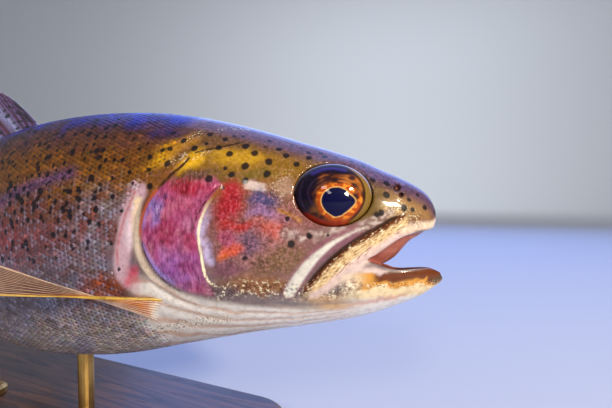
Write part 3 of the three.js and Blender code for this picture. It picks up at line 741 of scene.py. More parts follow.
def marked(s, y, z):
    """The colour at a place on the straight fish: base by height, then every patch in turn."""
    wobble = [blotches(seed, 4.2, s, y, z) - 0.5 for seed in (3, 5)]
    fine = [blotches(seed, 1.5, s, y, z) - 0.5 for seed in (7, 9)]
    a, b = s + 2.4 * wobble[0] + 1.4 * fine[0], z + 2.4 * wobble[1] + 1.4 * fine[1]
    colour = body_colour(s, y, z, wobble, fine)
    head = ease(78 - s, 0, 9)
    colour = lay(tint(112, 78, 30), colour, head * ease(z, 10, 18))
    colour = lay_patches(SOFT_PATCHES, colour, a, b)
    # a purple band along the head's ridge: partly the skin's own colour, partly a painted reflection of the
    # sky
    ridge = ease(z - BACK(s) + 7, 0, 5)
    colour = lay(tint(88, 62, 96), colour, 0.85 * head * ridge)
    # painted shade inside the nostril pits
    for back, up, radius in NOSTRILS:
        colour = lay(tint(20, 14, 18), colour, ease(radius + 0.3 - np.hypot(s - back, z - up), 0, 0.5))
    colour = lay(tint(150, 66, 18), colour, 0.9 * blob(a, b, (98, -22), (10, 6), -10))

    cover = ease(depth_inside(GILL_COVER, s, z), -0.4, 0.6 + 2 * ease(-z, 16, 22))
    colour = lay(cover_colour(s, y, z, a, b), colour, cover * ease(12.4 - b, 0, 3.4))
    colour = lay(tint(216, 176, 186), colour, band(s, b, SHOULDER, 2.4, 0.8))
    colour = lay(tint(232, 212, 224), colour, 0.8 * blob(a, b, (88.6, -6), (1.8, 5)))
    colour = lay(tint(214, 62, 92), colour, 0.85 * blob(a, b, (88.8, -18.6), (2.8, 4)))
    colour = lay(tint(238, 212, 184), colour, band(s, z, MEMBRANE, 1.3, 0.7))
    colour = lay(tint(196, 60, 44), colour, 0.8 * band(s, z, BLOOD_LINE, 0.2, 0.3))
    _, along = off_line(LAVENDER, s, z)
    colour = lay(tint(212, 200, 244), colour, 0.85 * band(a, z, LAVENDER, 0.9, 1.0) * ease(along, 0, 0.5))
    grain = ease(blotches(19, 0.8, s, y, z), 0.35, 0.75)
    speckled = lay(tint(216, 196, 186), tint(138, 106, 96), grain)
    colour = lay(speckled, colour, 0.85 * band(s, b, UNDER_EYE, 1.3, 0.9))
    colour = lay(tint(196, 132, 24), colour, 0.85 * band(s, z, EYE_CORNER, 0.5, 0.4))

    down = throat_place(s, z)
    throat = ease(down, -0.1, 0.1) * ease(92 - s, 0, 8) * ease(s, 10, 24)
    folds = ease(np.cos(2 * np.pi * (throat_rays(s, down) + 0.5 * wobble[0])), -1, -0.2)
    pale = lay(tint(236, 228, 220), tint(206, 160, 132), 0.3 + 0.7 * folds)
    return np.clip(jaws_colour(s, y, z, a, b, lay(pale, colour, throat)), 0.002, 1)


# %% [markdown]
# ## Lines, grain and flecks for the finish
# Fine marks would need millions of corners if each were painted onto the mesh. Instead the mesh
# carries smooth measures and the finish turns them into crisp marks: how far it is to a raised
# line, which gets a painted highlight, or to a crease, which is painted dark as shade, a place for
# the grain that is squeezed along the way the skin is streaked, and how strong the mottling and the
# golden flecks with their painted glints are.

# %% Measures that the finish reads
# painted shade: dark lines along the creases, grooves and overlapping plate edges
CREASE_SHADE_LINES = [
    # how much thinner than the first one it is, in mm, and the line
    (0.0, NAPE), (0.1, NAPE_BRANCH), (-0.06, UPPER_GROOVE),
    (0.16, [(84.6, -6), (83.7, -10.2), (82, -14), (79.6, -17.5), (76.6, -20.4), (72, -23)]),
    (0.2, [(60.9, 9.9), (63.1, 7.2), (65.3, 3.8), (67.6, -0.6), (68.5, -5)]),
    (0.24, [(67.2, -6), (66.6, -12.6), (65.7, -17.3), (63.6, -20.6)]),
]
ORANGE_RIM = [(79.4, 8.6), (81, 6.2), (82.4, 3.8), (83.7, 0.6), (84.6, -3.4), (84.6, -7)]


def nearest_line(lines, s, z):
    """Distance to the nearest line plus that line's own allowance, at most 4 mm."""
    off = np.full(np.shape(s), 4.0)
    for allowance, line in lines:
        reach, along = off_line(line, s, z)
        fade = 0.5 * (1 - ease(along, 0, 0.1) * ease(1 - along, 0, 0.1))
        off = np.minimum(off, reach + allowance + fade)
    return off


def grain_place(s, y, z):
    """Places for the grain: plain on the body, drawn out along the jaw bone and up the cover."""
    bone = ease(depth_inside(MAXILLA, s, z), -0.5, 0)[..., None]
    cover = ease(depth_inside(GILL_COVER, s, z), -0.5, 0.5)[..., None]
    plain = np.stack([s, y, z], -1)
    drawn = np.stack([0.3 * (0.8 * s - 0.6 * z), 0 * s, 0.6 * s + 0.8 * z], -1)
    upright = np.stack([0.85 * s, 0 * s, 0.34 * z], -1)
    place = plain + (upright - plain) * (cover > 0.5)
    place = np.where(band(s, z, GLINT_BAND, 2.2, 2.4)[..., None] > 0, 0.45 * plain, place)
    return place + (drawn - place) * (bone > 0.5)


# painted highlights: lines where pale flecks stand for light caught on the wet skin, with their half widths
PAINTED_WET_HIGHLIGHTS = [
    ([(70.5, 25.2), (72, 23.9), (73.8, 22.4)], 0.8), ([(58, 26.6), (62, 26.8), (66, 26.4)], 0.5),
    ([(73.5, 18.2), (75.5, 17.1), (77, 15.7)], 0.9), ([(66, 19), (68, 18.4), (70, 17)], 0.7),
    ([(62, -31), (72, -33), (84, -36)], 1.6), ([(78, 3), (80, 0)], 0.5),
]


def fleck_strengths(s, z):
    """How strongly the skin is mottled, and how thickly golden flecks with painted glints lie on it, each 0
    to 1; the painted wet highlights count in the second.
    """
    cover = ease(depth_inside(GILL_COVER, s, z), -0.5, 2)
    cheek = blob(s, z, (51, -4), (19, 17))
    crown = ease(z, 2, 8) * ease(90 - s, 0, 10)
    mottle = np.maximum.reduce([0.85 * cover, 0.8 * cheek, 0.35 * crown])
    glint = np.maximum.reduce([
        band(s, z, GLINT_BAND, 2.2, 2.4),
        0.8 * blob(s, z, (10, 0.6), (8, 3.4), 30),
        0.9 * ease(depth_inside(MAXILLA, s, z), -0.3, 0.5),
        0.8 * band(s, z, [(0, -20.2), (12, -20), (24, -20), (30, -21)], 0.8, 0.8),
        0.5 * band(s, z, [(44, 4), (46, 9), (43, 12)], 1.5, 2),
        *(band(s, z, line, width, 0.8) for line, width in PAINTED_WET_HIGHLIGHTS),
    ])
    lip_off, _ = off_line([(8, -4.4), (16.6, -9.2), (26, -16.4), (35.6, -22.8)], s, z)
    return mottle, glint * ease(lip_off, 0.6, 2)


# %% Where the dark spots are
HEAD_SPOTS = [
    # behind, up and radius
    (37.5, 17.2, 1.05), (40.6, 15.2, 1.1), (33, 17.4, 0.9), (34.5, 18.6, 0.8), (30, 17.4, 0.8),
    (25.5, 16, 0.9), (22, 14.8, 1.1), (19, 10.5, 1.1), (15, 9.7, 1.1), (15, 6.3, 1.1), (8.6, 4.9, 0.8),
    (6, 6.2, 0.8), (10, 2.5, 1.15), (7.5, 2, 0.8), (4, 2.5, 0.9), (1, 1.2, 0.9), (16.4, 1.2, 1.0),
    (17.6, 0.7, 0.9), (36, -5.2, 0.9), (31, -5, 0.5), (64.6, 10.8, 1.25), (74.5, 22.6, 1.0),
    (70.5, 20, 1.2), (67.5, 21.6, 0.8), (67.5, 24.6, 1.1), (62.6, 22.8, 1.0), (60.4, 24, 0.7),
    (58, 24, 0.8), (63.6, 20.2, 1.1), (56, 20.7, 1.3), (60, 18.2, 1.2), (53, 18.4, 1.25),
    (50, 22.6, 0.9), (46.5, 19.8, 1.0), (48.5, 15.9, 1.25), (44, 17.8, 1.2), (55, 14.6, 1.25),
    (40.6, 20.2, 0.7), (38, 18.8, 0.9), (60.5, 13.9, 0.8), (58.5, 12.2, 1.0), (54.5, 10.4, 1.1),
    (48.5, 12.3, 1.25), (56.5, 25.8, 0.7), (53.5, 25.6, 0.8), (48, 24.8, 0.8), (45, 23.2, 0.8),
    (43.5, 21.2, 0.7), (50.5, 20.6, 0.5), (60.4, 8.2, 0.7), (42, -0.4, 0.8), (41, -7.4, 1.2),
    (54, -11.5, 0.9), (77.6, 15.6, 1.2), (82.2, 9, 1.2), (64, 29.5, 0.9), (70, 29, 0.9), (57, 28, 0.8),
    (46.5, 26.2, 0.7), (36, 21.4, 0.7), (29, 20, 0.7), (18, 14.6, 0.7), (12, 11.6, 0.7),
]
BODY_SPOTS = [
    (92.5, 26, 0.9), (87.5, 20.6, 0.9), (85.4, 22.2, 0.8), (83.5, 17.9, 1.0), (80.2, 19.9, 0.9),
    (78, 20.2, 1.0), (78.5, 25.3, 0.8), (83.2, 13.9, 0.9), (87.6, 10, 0.9), (89, 13.3, 1.1),
    (92, 17.4, 1.1), (94.6, 17.4, 1.0), (93.6, 6, 1.2), (90.6, 1.8, 0.9), (94, -8.1, 0.9),
    (92.2, -4.2, 0.6), (94.2, 11.6, 0.9), (97, 24.7, 0.9), (90.5, 23.8, 0.8), (95.6, 21.1, 0.8),
    (92.2, -15.8, 0.8),
]


def section_half(s, z):
    """The half width of the body at this height: half times (1 - |up/reach|^p)^(1/p)."""
    up = z - WIDEST(s)
    share = np.minimum(np.abs(up) / height_of_half(s, up > 0), 1)
    return HALF(s) * np.maximum(1 - share**ROUNDNESS, 0) ** (1 / ROUNDNESS)


def on_side(side, back, up, radius):
    """Spots on the skin of one side, as rows of [s, y, z, radius]."""
    return np.stack([back, side * section_half(back, up), up, radius], 1)


def spot_list():
    """Every dark spot as [s, y, z, radius]: the head's listed, the body's in seeded leaning rows."""
    placed = np.array(HEAD_SPOTS + BODY_SPOTS) * (1, 1, 0.9)
    both = [on_side(side, *placed.T) for side in (-1, 1)]
    rng = np.random.default_rng(41)
    row, step = np.meshgrid(np.arange(-8, 76), np.arange(0, 25), indexing="ij")
    share = 1 - step.ravel() / 21 + rng.normal(0, 0.02, step.size)
    s = 96 + 3.9 * row.ravel() + 2 * (step.ravel() % 2) + 6 * (1 - share)
    s = s + rng.normal(0, 0.8, step.size)
    for side in (-1, 1):
        chance = rng.random(step.size)
        likely = np.where(share > 0.1, 0.84, 0.46 * ease(share, -0.55, 0.1))
        keep = (chance < likely) & (s > 97) & (s < 344) & (share < 1.02)
        back, high = s[keep] + rng.normal(0, 0.7, keep.sum()), share[keep]
        up = np.minimum(WIDEST(back) + high * height_of_half(back, high > 0), BACK(back) - 0.05)
        radius = rng.uniform(0.65, 1.25, keep.sum()) * (0.75 + 0.25 * ease(330 - back, 0, 120))
        both.append(on_side(side, back, up, radius))
    return np.concatenate(both)


SPOTS = spot_list()


def spot_depth(s, y, z):
    """How deep inside the nearest spot a place is, in mm; small blotches make its edge ragged."""
    order = np.argsort(s)
    places = np.stack([s, y, z], 1)[order]
    depth = np.full(len(s), -3.0)
    for back, left, up, radius in SPOTS:
        first, last = np.searchsorted(places[:, 0], (back - radius - 3, back + radius + 3))
        squeeze = 1.0 + 0.3 * float(ease(back, 78, 92))
        off = np.linalg.norm((places[first:last] - (back, left, up)) * (squeeze, 1, 0.95), axis=1)
        depth[first:last] = np.maximum(depth[first:last], radius - off)
    found = np.empty_like(depth)
    found[order] = depth
    return found + 0.5 * (blotches(31, 0.9, s, y, z) - 0.5)


print(len(SPOTS), "spots")

# %% [markdown]
# ## Finishes written as sums
# A finish is a net of shader nodes. Written node by node it is hard to read, so a node's output is
# wrapped in a small class whose plus, minus, times and divide add the Math nodes. Every other node
# comes from one method that takes its type, its settings and its inputs.

# %% A wrapped socket and a finish
class Link:
    """An output socket that can be used in sums; numbers stay numbers until a node needs them."""

    def __init__(self, finish, socket):
        self.finish, self.socket = finish, socket

    def math(self, operation, first, second=0.0):
        return self.finish.node("ShaderNodeMath", {"operation": operation}, {0: first, 1: second})

    def __add__(self, other):
        return self.math("ADD", self, other)

    def __sub__(self, other):
        return self.math("SUBTRACT", self, other)

    def __rsub__(self, other):
        return self.math("SUBTRACT", other, self)

    def __mul__(self, other):
        return self.math("MULTIPLY", self, other)

    def __truediv__(self, other):
        return self.math("DIVIDE", self, other)

    __radd__, __rmul__ = __add__, __mul__

    def clamped(self):
        return self.finish.node("ShaderNodeClamp", {}, {0: self})


class Finish:
    """One material, with short ways to make the nodes that it uses."""

    def __init__(self, name):
        self.material = bpy.data.materials.new(name)
        self.material.use_nodes = True
        self.tree = self.material.node_tree
        self.tree.nodes.clear()

    def node(self, kind, settings, inputs, output=0):
        made = self.tree.nodes.new(kind)
        for name, value in settings.items():
            if name == "stops":
                ramp = made.color_ramp
                while len(ramp.elements) < len(value):
                    ramp.elements.new(0.5)
                for element, (place, colour) in zip(ramp.elements, value):
                    element.position, element.color = place, (*colour, 1)
            else:
                setattr(made, name, value)
        for name, value in inputs.items():
            if isinstance(value, Link):
                self.tree.links.new(value.socket, made.inputs[name])
            else:
                made.inputs[name].default_value = value
        return Link(self, made.outputs[output])

    def attribute(self, name, output="Fac"):
        return self.node("ShaderNodeAttribute", {"attribute_name": name}, {}, output)

    def noise(self, size, detail=2.0, rough=0.5, along=None):
        """Noise whose lumps are about `size` mm on the piece's own coordinates; 0 to 1."""
        where = along or self.node("ShaderNodeTexCoord", {}, {}, "Object")
        inputs = {"Vector": where, "Scale": 1 / (size * MM), "Detail": detail, "Roughness": rough}
        return self.node("ShaderNodeTexNoise", {}, inputs)

    def mix(self, factor, under, over, blend="MIX"):
        def colour(c):
            return c if isinstance(c, Link) else (*c, 1)

        settings = {"data_type": "RGBA", "blend_type": blend}
        return self.node("ShaderNodeMix", settings, {0: factor, 6: colour(under), 7: colour(over)}, 2)

    def step(self, value, low, high):
        """0 below low and 1 above high, straight between them."""
        return ((value - low) / (high - low)).clamped()

    def bump(self, height, depth, strength=1.0):
        """A Normal that tilts as a surface `depth` mm deep would."""
        inputs = {"Height": height, "Distance": depth * MM, "Strength": strength}
        return self.node("ShaderNodeBump", {}, inputs)

    def wet(self, **sockets):
        """Ends the finish in a Principled shader; underscores stand for spaces in socket names."""
        inputs = {name.replace("_", " "): value for name, value in sockets.items()}
        shader = self.node("ShaderNodeBsdfPrincipled", {}, inputs)
        end = self.tree.nodes.new("ShaderNodeOutputMaterial")
        self.tree.links.new(shader.socket, end.inputs["Surface"])
        return self.material


# %% Put numpy surfaces into Blender
def make_piece(
    name, places, faces, finish, replaces=(), values=None, bake_map=None
):
    """A piece from places in mm and its faces, turned outwards, riding on the still model."""
    corner = places[faces]
    volume = np.einsum("ij,ij->i", corner[:, 0], np.cross(corner[:, 1], corner[:, 2])).sum()
    if faces.shape[1] == 4:
        volume += np.einsum("ij,ij->i", corner[:, 0], np.cross(corner[:, 2], corner[:, 3])).sum()
    if volume < 0:
        faces = faces[:, ::-1]
    mesh = bpy.data.meshes.new(name)
    mesh.vertices.add(len(places))
    mesh.vertices.foreach_set("co", (places * MM).astype(np.float32).ravel())
    mesh.loops.add(faces.size)
    mesh.loops.foreach_set("vertex_index", np.ascontiguousarray(faces, np.int32).ravel())
    mesh.polygons.add(len(faces))
    starts = np.arange(0, faces.size, faces.shape[1], dtype=np.int32)
    mesh.polygons.foreach_set("loop_start", starts)
    mesh.update(calc_edges=True)
    for key, value in (values or {}).items():
        if key == "grain":
            flat = (value * MM).astype(np.float32).ravel()
            kind, field = "FLOAT_VECTOR", "vector"
        elif value.ndim == 2:
            colour = np.concatenate([value, np.ones((len(value), 1))], 1)
            kind, field, flat = "FLOAT_COLOR", "color", colour.ravel()
        else:
            kind, field, flat = "FLOAT", "value", value.astype(np.float32)
        mesh.attributes.new(key, kind, "POINT").data.foreach_set(field, flat)
    if bake_map is not None:
        layer = mesh.uv_layers.new(name="OFBake")
        layer.data.foreach_set("uv", bake_map[faces.ravel()].astype(np.float32).ravel())
    mesh.shade_smooth()
    mesh.materials.append(finish)
    piece = bpy.data.objects.new(name, mesh)
    bpy.context.collection.objects.link(piece)
    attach(piece, "root")
    if replaces:
        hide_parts(*replaces)
    print(name, len(faces) * (faces.shape[1] - 2), "triangles")
    return piece


# %% [markdown]
# ## Wet skin
# Trout skin is a thin clear slime over pigment and over silvery plates. So the paint lies under a
# glossy coat, the coat's surface is a little uneven, and tiny pale flecks are painted into the
# colour as glints of light on the wet slime, thickest where wet highlights are painted. Dark spots
# come as a depth in millimetres, so their edges stay sharp at any mesh size.

# %% The skin's finish
INK = tint(14, 7, 12)


def painted(f, mottle, grain):
    """Paint with darker and paler mottling, coarse and fine, as strong as `mottle` says."""
    paint = f.attribute("paint", "Color")
    coarse, middling = f.noise(2.0, 2, 0.6, grain), f.noise(0.9, 2, 0.6, grain)
    fine = f.noise(0.4, 2, 0.6, grain)
    colour = f.mix(f.step(coarse, 0.5, 0.36) * mottle * 0.5, paint, tint(128, 66, 110), "MULTIPLY")
    colour = f.mix(f.step(middling, 0.48, 0.36) * mottle * 0.6, colour, tint(120, 60, 76), "MULTIPLY")
    colour = f.mix(f.step(middling, 0.5, 0.66) * mottle * 0.5, colour, tint(206, 128, 150), "SCREEN")
    colour = f.mix(f.step(fine, 0.58, 0.7) * mottle * 0.25, colour, tint(206, 168, 190), "SCREEN")
    return colour, fine


def wet_skin():
    """Mottled paint, golden flecks with painted glints and highlights, a raised line with a painted
    highlight, creases painted dark as shade, and spots, under a clear coat.
    """
    f = Finish("wet_skin")
    grain = f.attribute("grain", "Vector")
    colour, fine = painted(f, f.attribute("mottle"), grain)
    shade = f.noise(1.6, 3)
    colour = f.mix(f.step(shade, 0.42, 0.7) * 0.25, colour, tint(120, 84, 60), "MULTIPLY")
    glint = f.attribute("glint")
    sparkle = f.noise(0.55, 2, 0.7, grain)
    colour = f.mix(f.step(sparkle, 0.48, 0.38) * glint * 0.75, colour, tint(118, 62, 26), "MULTIPLY")
    # painted glints and wet highlights: pale flecks laid over the golden ones
    bright = f.step(sparkle, 0.56, 0.64) * glint
    colour = f.mix(bright * 0.95, colour, tint(255, 244, 206))
    ridge, crease, rim = f.attribute("ridge"), f.attribute("crease"), f.attribute("rim")
    waver = (f.noise(1.4, 1) - 0.5) * 0.3
    colour = f.mix(f.step(rim + waver, 0.8, 0.2) * 0.85, colour, tint(214, 96, 44))
    # painted shade along the creases
    colour = f.mix(f.step(crease + waver, 0.6, 0.2), colour, tint(58, 28, 8))
    # a painted highlight along the raised edge of the preopercle: pale cream low down, brown towards its
    # top
    height_up = f.step(f.attribute("upright"), 6, -1)
    ridge_highlight = f.mix(height_up, tint(150, 84, 26), tint(255, 240, 204))
    colour = f.mix(f.step(ridge + waver, 0.5, 0.2), colour, ridge_highlight)
    spot = f.step(f.attribute("spot"), -0.18, 0.2)
    colour = f.mix(spot * 0.93, colour, INK)
    height = fine * 0.5 + f.noise(2.2, 1) * 1.2 + f.noise(0.9, 1) * 0.7
    return f.wet(
        Base_Color=colour,
        Roughness=0.4 + 0.2 * shade,
        Metallic=f.attribute("silver") * 0.3,
        IOR=1.25,
        Coat_Weight=0.15 + 0.7 * f.attribute("wet"),
        Coat_Roughness=0.08,
        Coat_IOR=1.34,
        Normal=f.bump(height, 0.1, 0.8),
    )


def wet_scales():
    """The same paint, a dark rim at each scale's rear, and a silvery gleam that differs by scale, its pale
    colour a painted glint.
    """
    f = Finish("wet_scales")
    colour = f.attribute("paint", "Color")
    shade = f.noise(1.6, 3)
    rear, gleam = f.attribute("rear"), f.attribute("gleam")
    colour = f.mix(f.step(shade, 0.42, 0.7) * 0.25, colour, tint(120, 84, 70), "MULTIPLY")
    colour = f.mix(f.step(rear, 0.7, 1.0) * 0.4, colour, tint(84, 56, 50), "MULTIPLY")
    # painted glint: a pale patch in the middle of some scales, partly their silver and partly light caught
    # on them
    lit = f.step(rear, 0.3, 0.65) * (1 - f.step(rear, 0.7, 1.0)) * f.step(f.noise(0.6, 2), 0.3, 0.6)
    colour = f.mix(lit * gleam * 0.7, colour, tint(186, 186, 218))
    spot = f.step(f.attribute("spot"), -0.18, 0.2)
    colour = f.mix(spot * 0.93, colour, INK)
    return f.wet(
        Base_Color=colour,
        Roughness=0.45 + 0.2 * shade,
        Metallic=f.attribute("silver") * 0.2,
        IOR=1.25,
        Coat_Weight=0.6,
        Coat_Roughness=0.12,
        Coat_IOR=1.34,
        Normal=f.bump(f.noise(0.5, 2), 0.05, 0.6),
    )


# %% The skin
s, y, z = skin_rest.T
skin_paint = marked(s, y, z)
outer_depth = -np.minimum(hull_field(s, y, z), jaw_field(s, y, z))
inside_mouth = ease(outer_depth, 0.9, 1.7) * ease(off_eye(s, y, z), 1.2, 2.2) * ease(56 - s, 0, 3)
amber_floor = ease(14 - s, 0, 3) * ease(-16.4 - z, 0, 1)
flesh_pink = lay(tint(140, 60, 50), tint(178, 104, 86), ease(s, 8, 30))
flesh_pink = lay(tint(206, 140, 122), flesh_pink, 0.6 * ease(blotches(37, 2.5, s, y, z), 0.5, 0.8))
flesh_pink = lay(tint(104, 50, 14), flesh_pink, amber_floor)
skin_paint = lay(flesh_pink, skin_paint, inside_mouth)
silver = (0.4 + 0.6 * ease(depth_inside(GILL_COVER, s, z), 0, 2)) * ease(s, 36, 60)
silver = silver * (1 - inside_mouth)
mottle, glint = (strength * (1 - inside_mouth) for strength in fleck_strengths(s, z))
make_piece(
    "trout_skin", pose(s, y, z), skin_faces, wet_skin(),
    ("head", "lower_jaw", "trunk", "tail_stalk", "gill_cover_left", "gill_cover_right",
     "maxilla_left", "maxilla_right"),
    {
        "paint": skin_paint, "spot": spot_depth(s, y, z) - 4 * inside_mouth, "silver": silver,
        "grain": grain_place(s, y, z), "mottle": mottle, "glint": glint, "upright": z,
        "wet": 1 - inside_mouth,
        "ridge": nearest_line([(0, PREOPERCLE)], s, z), "rim": nearest_line([(0, ORANGE_RIM)], s, z),
        "crease": nearest_line(CREASE_SHADE_LINES, s, z) + 4 * inside_mouth,
    },
)

# %% [markdown]
# ## Scales
# Behind the gill slit a trout wears some fifty rows of small scales a side, each a thin shield
# rooted under the one in front, with a round rear edge that stands a hair proud. Every one here is
# its own little plate on the flesh, in staggered rows that shrink towards the tail. The plates are
# one array: all scales times the few vertices of one scale.

# %% Places on the body by share of its girth
def signed_power(x, power):
    """x to a power with its sign kept, which bends a circle into a superellipse."""
    return np.sign(x) * np.abs(x) ** power


ROWS, GIRTH_PARTS = 76, 300
stations = np.arange(66, 352, 1.0)
shares = np.linspace(0, 1, GIRTH_PARTS + 1)


def girth_tables():
    """For each slice, y, z and length of the line from the ridge (share 0) to the keel (share 1)."""
    t = np.linspace(0, math.pi, 1441)[None, :]
    back = stations[:, None]
    upright = signed_power(np.cos(t), 2 / ROUNDNESS)
    y = HALF(back) * np.sin(t) ** (2 / ROUNDNESS)
    z = WIDEST(back) + upright * height_of_half(back, upright > 0)
    steps = (np.diff(line, axis=1, prepend=line[:, :1]) for line in (y, z))
    arc = np.hypot(*steps).cumsum(1)
    table = [
        [np.interp(shares * run[-1], run, line) for run, line in zip(arc, lines)] for lines in (y, z)
    ]
    return np.array(table[0]), np.array(table[1]), arc[:, -1]


GIRTH_Y, GIRTH_Z, GIRTH = girth_tables()


def body_place(s, share):
    """y and z at a share of the half girth; past the ridge or the keel it goes on the other side."""
    side = np.where(share < 0, -1.0, 1.0)
    across = np.abs(share)
    over = across > 1
    side, across = np.where(over, -side, side), np.where(over, 2 - across, across)
    i = np.clip(s - stations[0], 0, len(stations) - 1.001)
    j = np.clip(across * GIRTH_PARTS, 0, GIRTH_PARTS - 0.001)
    return side * read_table(GIRTH_Y, i, j), read_table(GIRTH_Z, i, j)


def outward(s, y, z):
    """The section's outward direction in y and z: the slope of its superellipse."""
    up = z - WIDEST(s)
    half, reach = HALF(s), height_of_half(s, up > 0)
    ny = signed_power(y / half, ROUNDNESS - 1) / half
    nz = signed_power(up / reach, ROUNDNESS - 1) / reach
    size = np.maximum(np.hypot(ny, nz), 1e-9)
    return ny / size, nz / size


# %% Where each scale is rooted
def scale_roots():
    """Slices spaced by the local row width; every second slice is shifted by half a row."""
    width = np.interp(stations, stations, GIRTH) / ROWS
    run = np.concatenate([[0], np.cumsum(1 / (0.98 * np.maximum(width[:-1], 1.0)))])
    count = int(run[-1])
    slice_s = np.interp(np.arange(count), run, stations)
    number, row = np.meshgrid(np.arange(count), np.arange(-ROWS, ROWS), indexing="ij")
    s = slice_s[number] + rng.normal(0, 0.06, number.shape)
    share = (row + 0.5 * (number % 2) + rng.normal(0, 0.03, number.shape)) / ROWS
    s, share = s.ravel(), share.ravel()
    y, z = body_place(s, share)
    keep = (s > FIRST_SCALE(z)) & (s < TAIL_ROOT - 2)
    return s[keep], share[keep]


rng = np.random.default_rng(53)
root_s, root_share = scale_roots()
print(len(root_s), "scales")

# %% One scale's form, and all of them at once
SCALE_LENGTH = 1.95  # in widths of a row
SCALE_HALF_WIDTH = 0.6
AHEAD_OF_ROOT = 0.36  # share of the length
PATCH, MARGIN = 0.003, 0.02  # a scale's width and the rim left free on the map of the coat
ALONG = np.array([0, 0.45, 0.8, 1.0, 1.0])
SHAPE = np.array([0.75, 1.0, 0.86, 0.42, 0.42])
RISE = np.array([-0.2, 0.03, 0.09, 0.11, 0.0])
ACROSS = np.array([-1, -0.36, 0.36, 1])

def scale_coat(root_s, root_share):
    """Places of every scale: its root plus along times length, plus across times its shape."""
    width = np.interp(root_s, stations, GIRTH) / ROWS
    length = SCALE_LENGTH * np.maximum(width, 1.0)
    size = np.minimum(width / 2.0, 1)[:, None, None]
    a, b = ALONG[None, :, None], ACROSS[None, None, :]
    round_end = 0.13 * (1 - b**2) * (ALONG > 0.8)[None, :, None]
    s = root_s[:, None, None] + (a + round_end - AHEAD_OF_ROOT) * length[:, None, None]
    share = root_share[:, None, None] + SCALE_HALF_WIDTH * b * SHAPE[None, :, None] / ROWS
    y, z = body_place(s, share)
    ny, nz = outward(s, y, z)
    tip = rng.normal(0, 0.03, len(root_s))[:, None, None]
    risen = scaled(s, z)
    height = (RISE[None, :, None] - 0.1 * b**2 + tip * a + 0.16) * size * (0.25 + 0.75 * risen)
    height = height - 0.06 - (COAT_DEPTH - 0.02) * risen
    s = np.broadcast_to(s, y.shape)
    return s, y + ny * height, z + nz * height


def coat_piece(name, chosen, finish):
    roots, shares_of = root_s[chosen], root_share[chosen]
    s, y, z = scale_coat(roots, shares_of)
    rows, columns = len(ALONG), len(ACROSS)
    cell = np.arange(rows * columns).reshape(rows, columns)
    quads = np.stack([cell[:-1, :-1], cell[1:, :-1], cell[1:, 1:], cell[:-1, 1:]], -1).reshape(-1, 4)
    faces = (quads[None] + (np.arange(len(roots)) * rows * columns)[:, None, None]).reshape(-1, 4)
    root_y, root_z = body_place(roots, shares_of)
    shade = np.exp(rng.normal(0, 0.24, (len(roots), 1)) + rng.normal(0, 0.05, (len(roots), 3)))
    paint = np.clip(marked(roots, root_y, root_z) * shade, 0.002, 1)
    upright = (root_z - WIDEST(roots)) / (BACK(roots) - WIDEST(roots))
    # gleam: how strongly a scale shows its painted glint; it also sets the scale's silver
    gleam = ease(0.5 - upright, -0.1, 0.5) * (0.35 + 0.65 * ease(upright, -1.6, -0.5))
    gleam = np.maximum(gleam, blob(roots, root_z, (97, -4), (14, 14))) * rng.random(len(roots)) ** 2.5
    rear = 1 - 0.8 * ease(upright, 0.6, 0.88)
    low, high = roots.min(), roots.max()
    place_u = (roots - low) / (high - low) * (1 - 2 * MARGIN) + MARGIN
    place_v = (shares_of + 1) / 2 * (1 - 2 * MARGIN) + MARGIN
    u = place_u[:, None, None] + PATCH * (ALONG[None, :, None] - 0.5)
    v = place_v[:, None, None] + PATCH / 2 * ACROSS[None, None, :]
    each = rows * columns
    make_piece(
        name, pose(s.ravel(), y.ravel(), z.ravel()), faces, finish, (),
        {
            "paint": np.repeat(paint, each, 0),
            "spot": spot_depth(s.ravel(), y.ravel(), z.ravel()),
            "rear": (rear[:, None] * np.repeat(ALONG, columns)).ravel(),
            "gleam": np.repeat(gleam, each),
            "silver": np.repeat(0.25 + 0.75 * gleam, each),
        },
        np.stack(np.broadcast_arrays(u, v), -1).reshape(-1, 2),
    )


scale_finish = wet_scales()
COAT_PIECES = ("scales_nape", "scales_shoulder", "scales_side", "scales_flank", "scales_tail")
cuts = np.quantile(root_s, np.linspace(0, 1, len(COAT_PIECES) + 1))
for name, low, high in zip(COAT_PIECES, cuts[:-1], cuts[1:]):
    last = high if high < cuts[-1] else high + 1
    coat_piece(name, (root_s >= low) & (root_s < last), scale_finish)

# %% [markdown]
# ## Fins
# A fin is a fan of bony rays with a thin membrane between them. Each ray starts on a root line,
# aims its own way and has its own length, so one function of two numbers, which ray and how far
# out, gives every place. The membrane is thin and the rays swell out of it; each ray forks in two
# past its middle, and the free edge is cut in a little between them.

# %% The fan
def ring_quads(rows, columns):
    """The places of a tube, ring by ring, as numbers, and the quads between neighbouring rings."""
    cell = np.arange(rows * columns).reshape(rows, columns)
    after = np.roll(cell, -1, 1)
    return cell, np.stack([cell[:-1], after[:-1], after[1:], cell[1:]], -1).reshape(-1, 4)


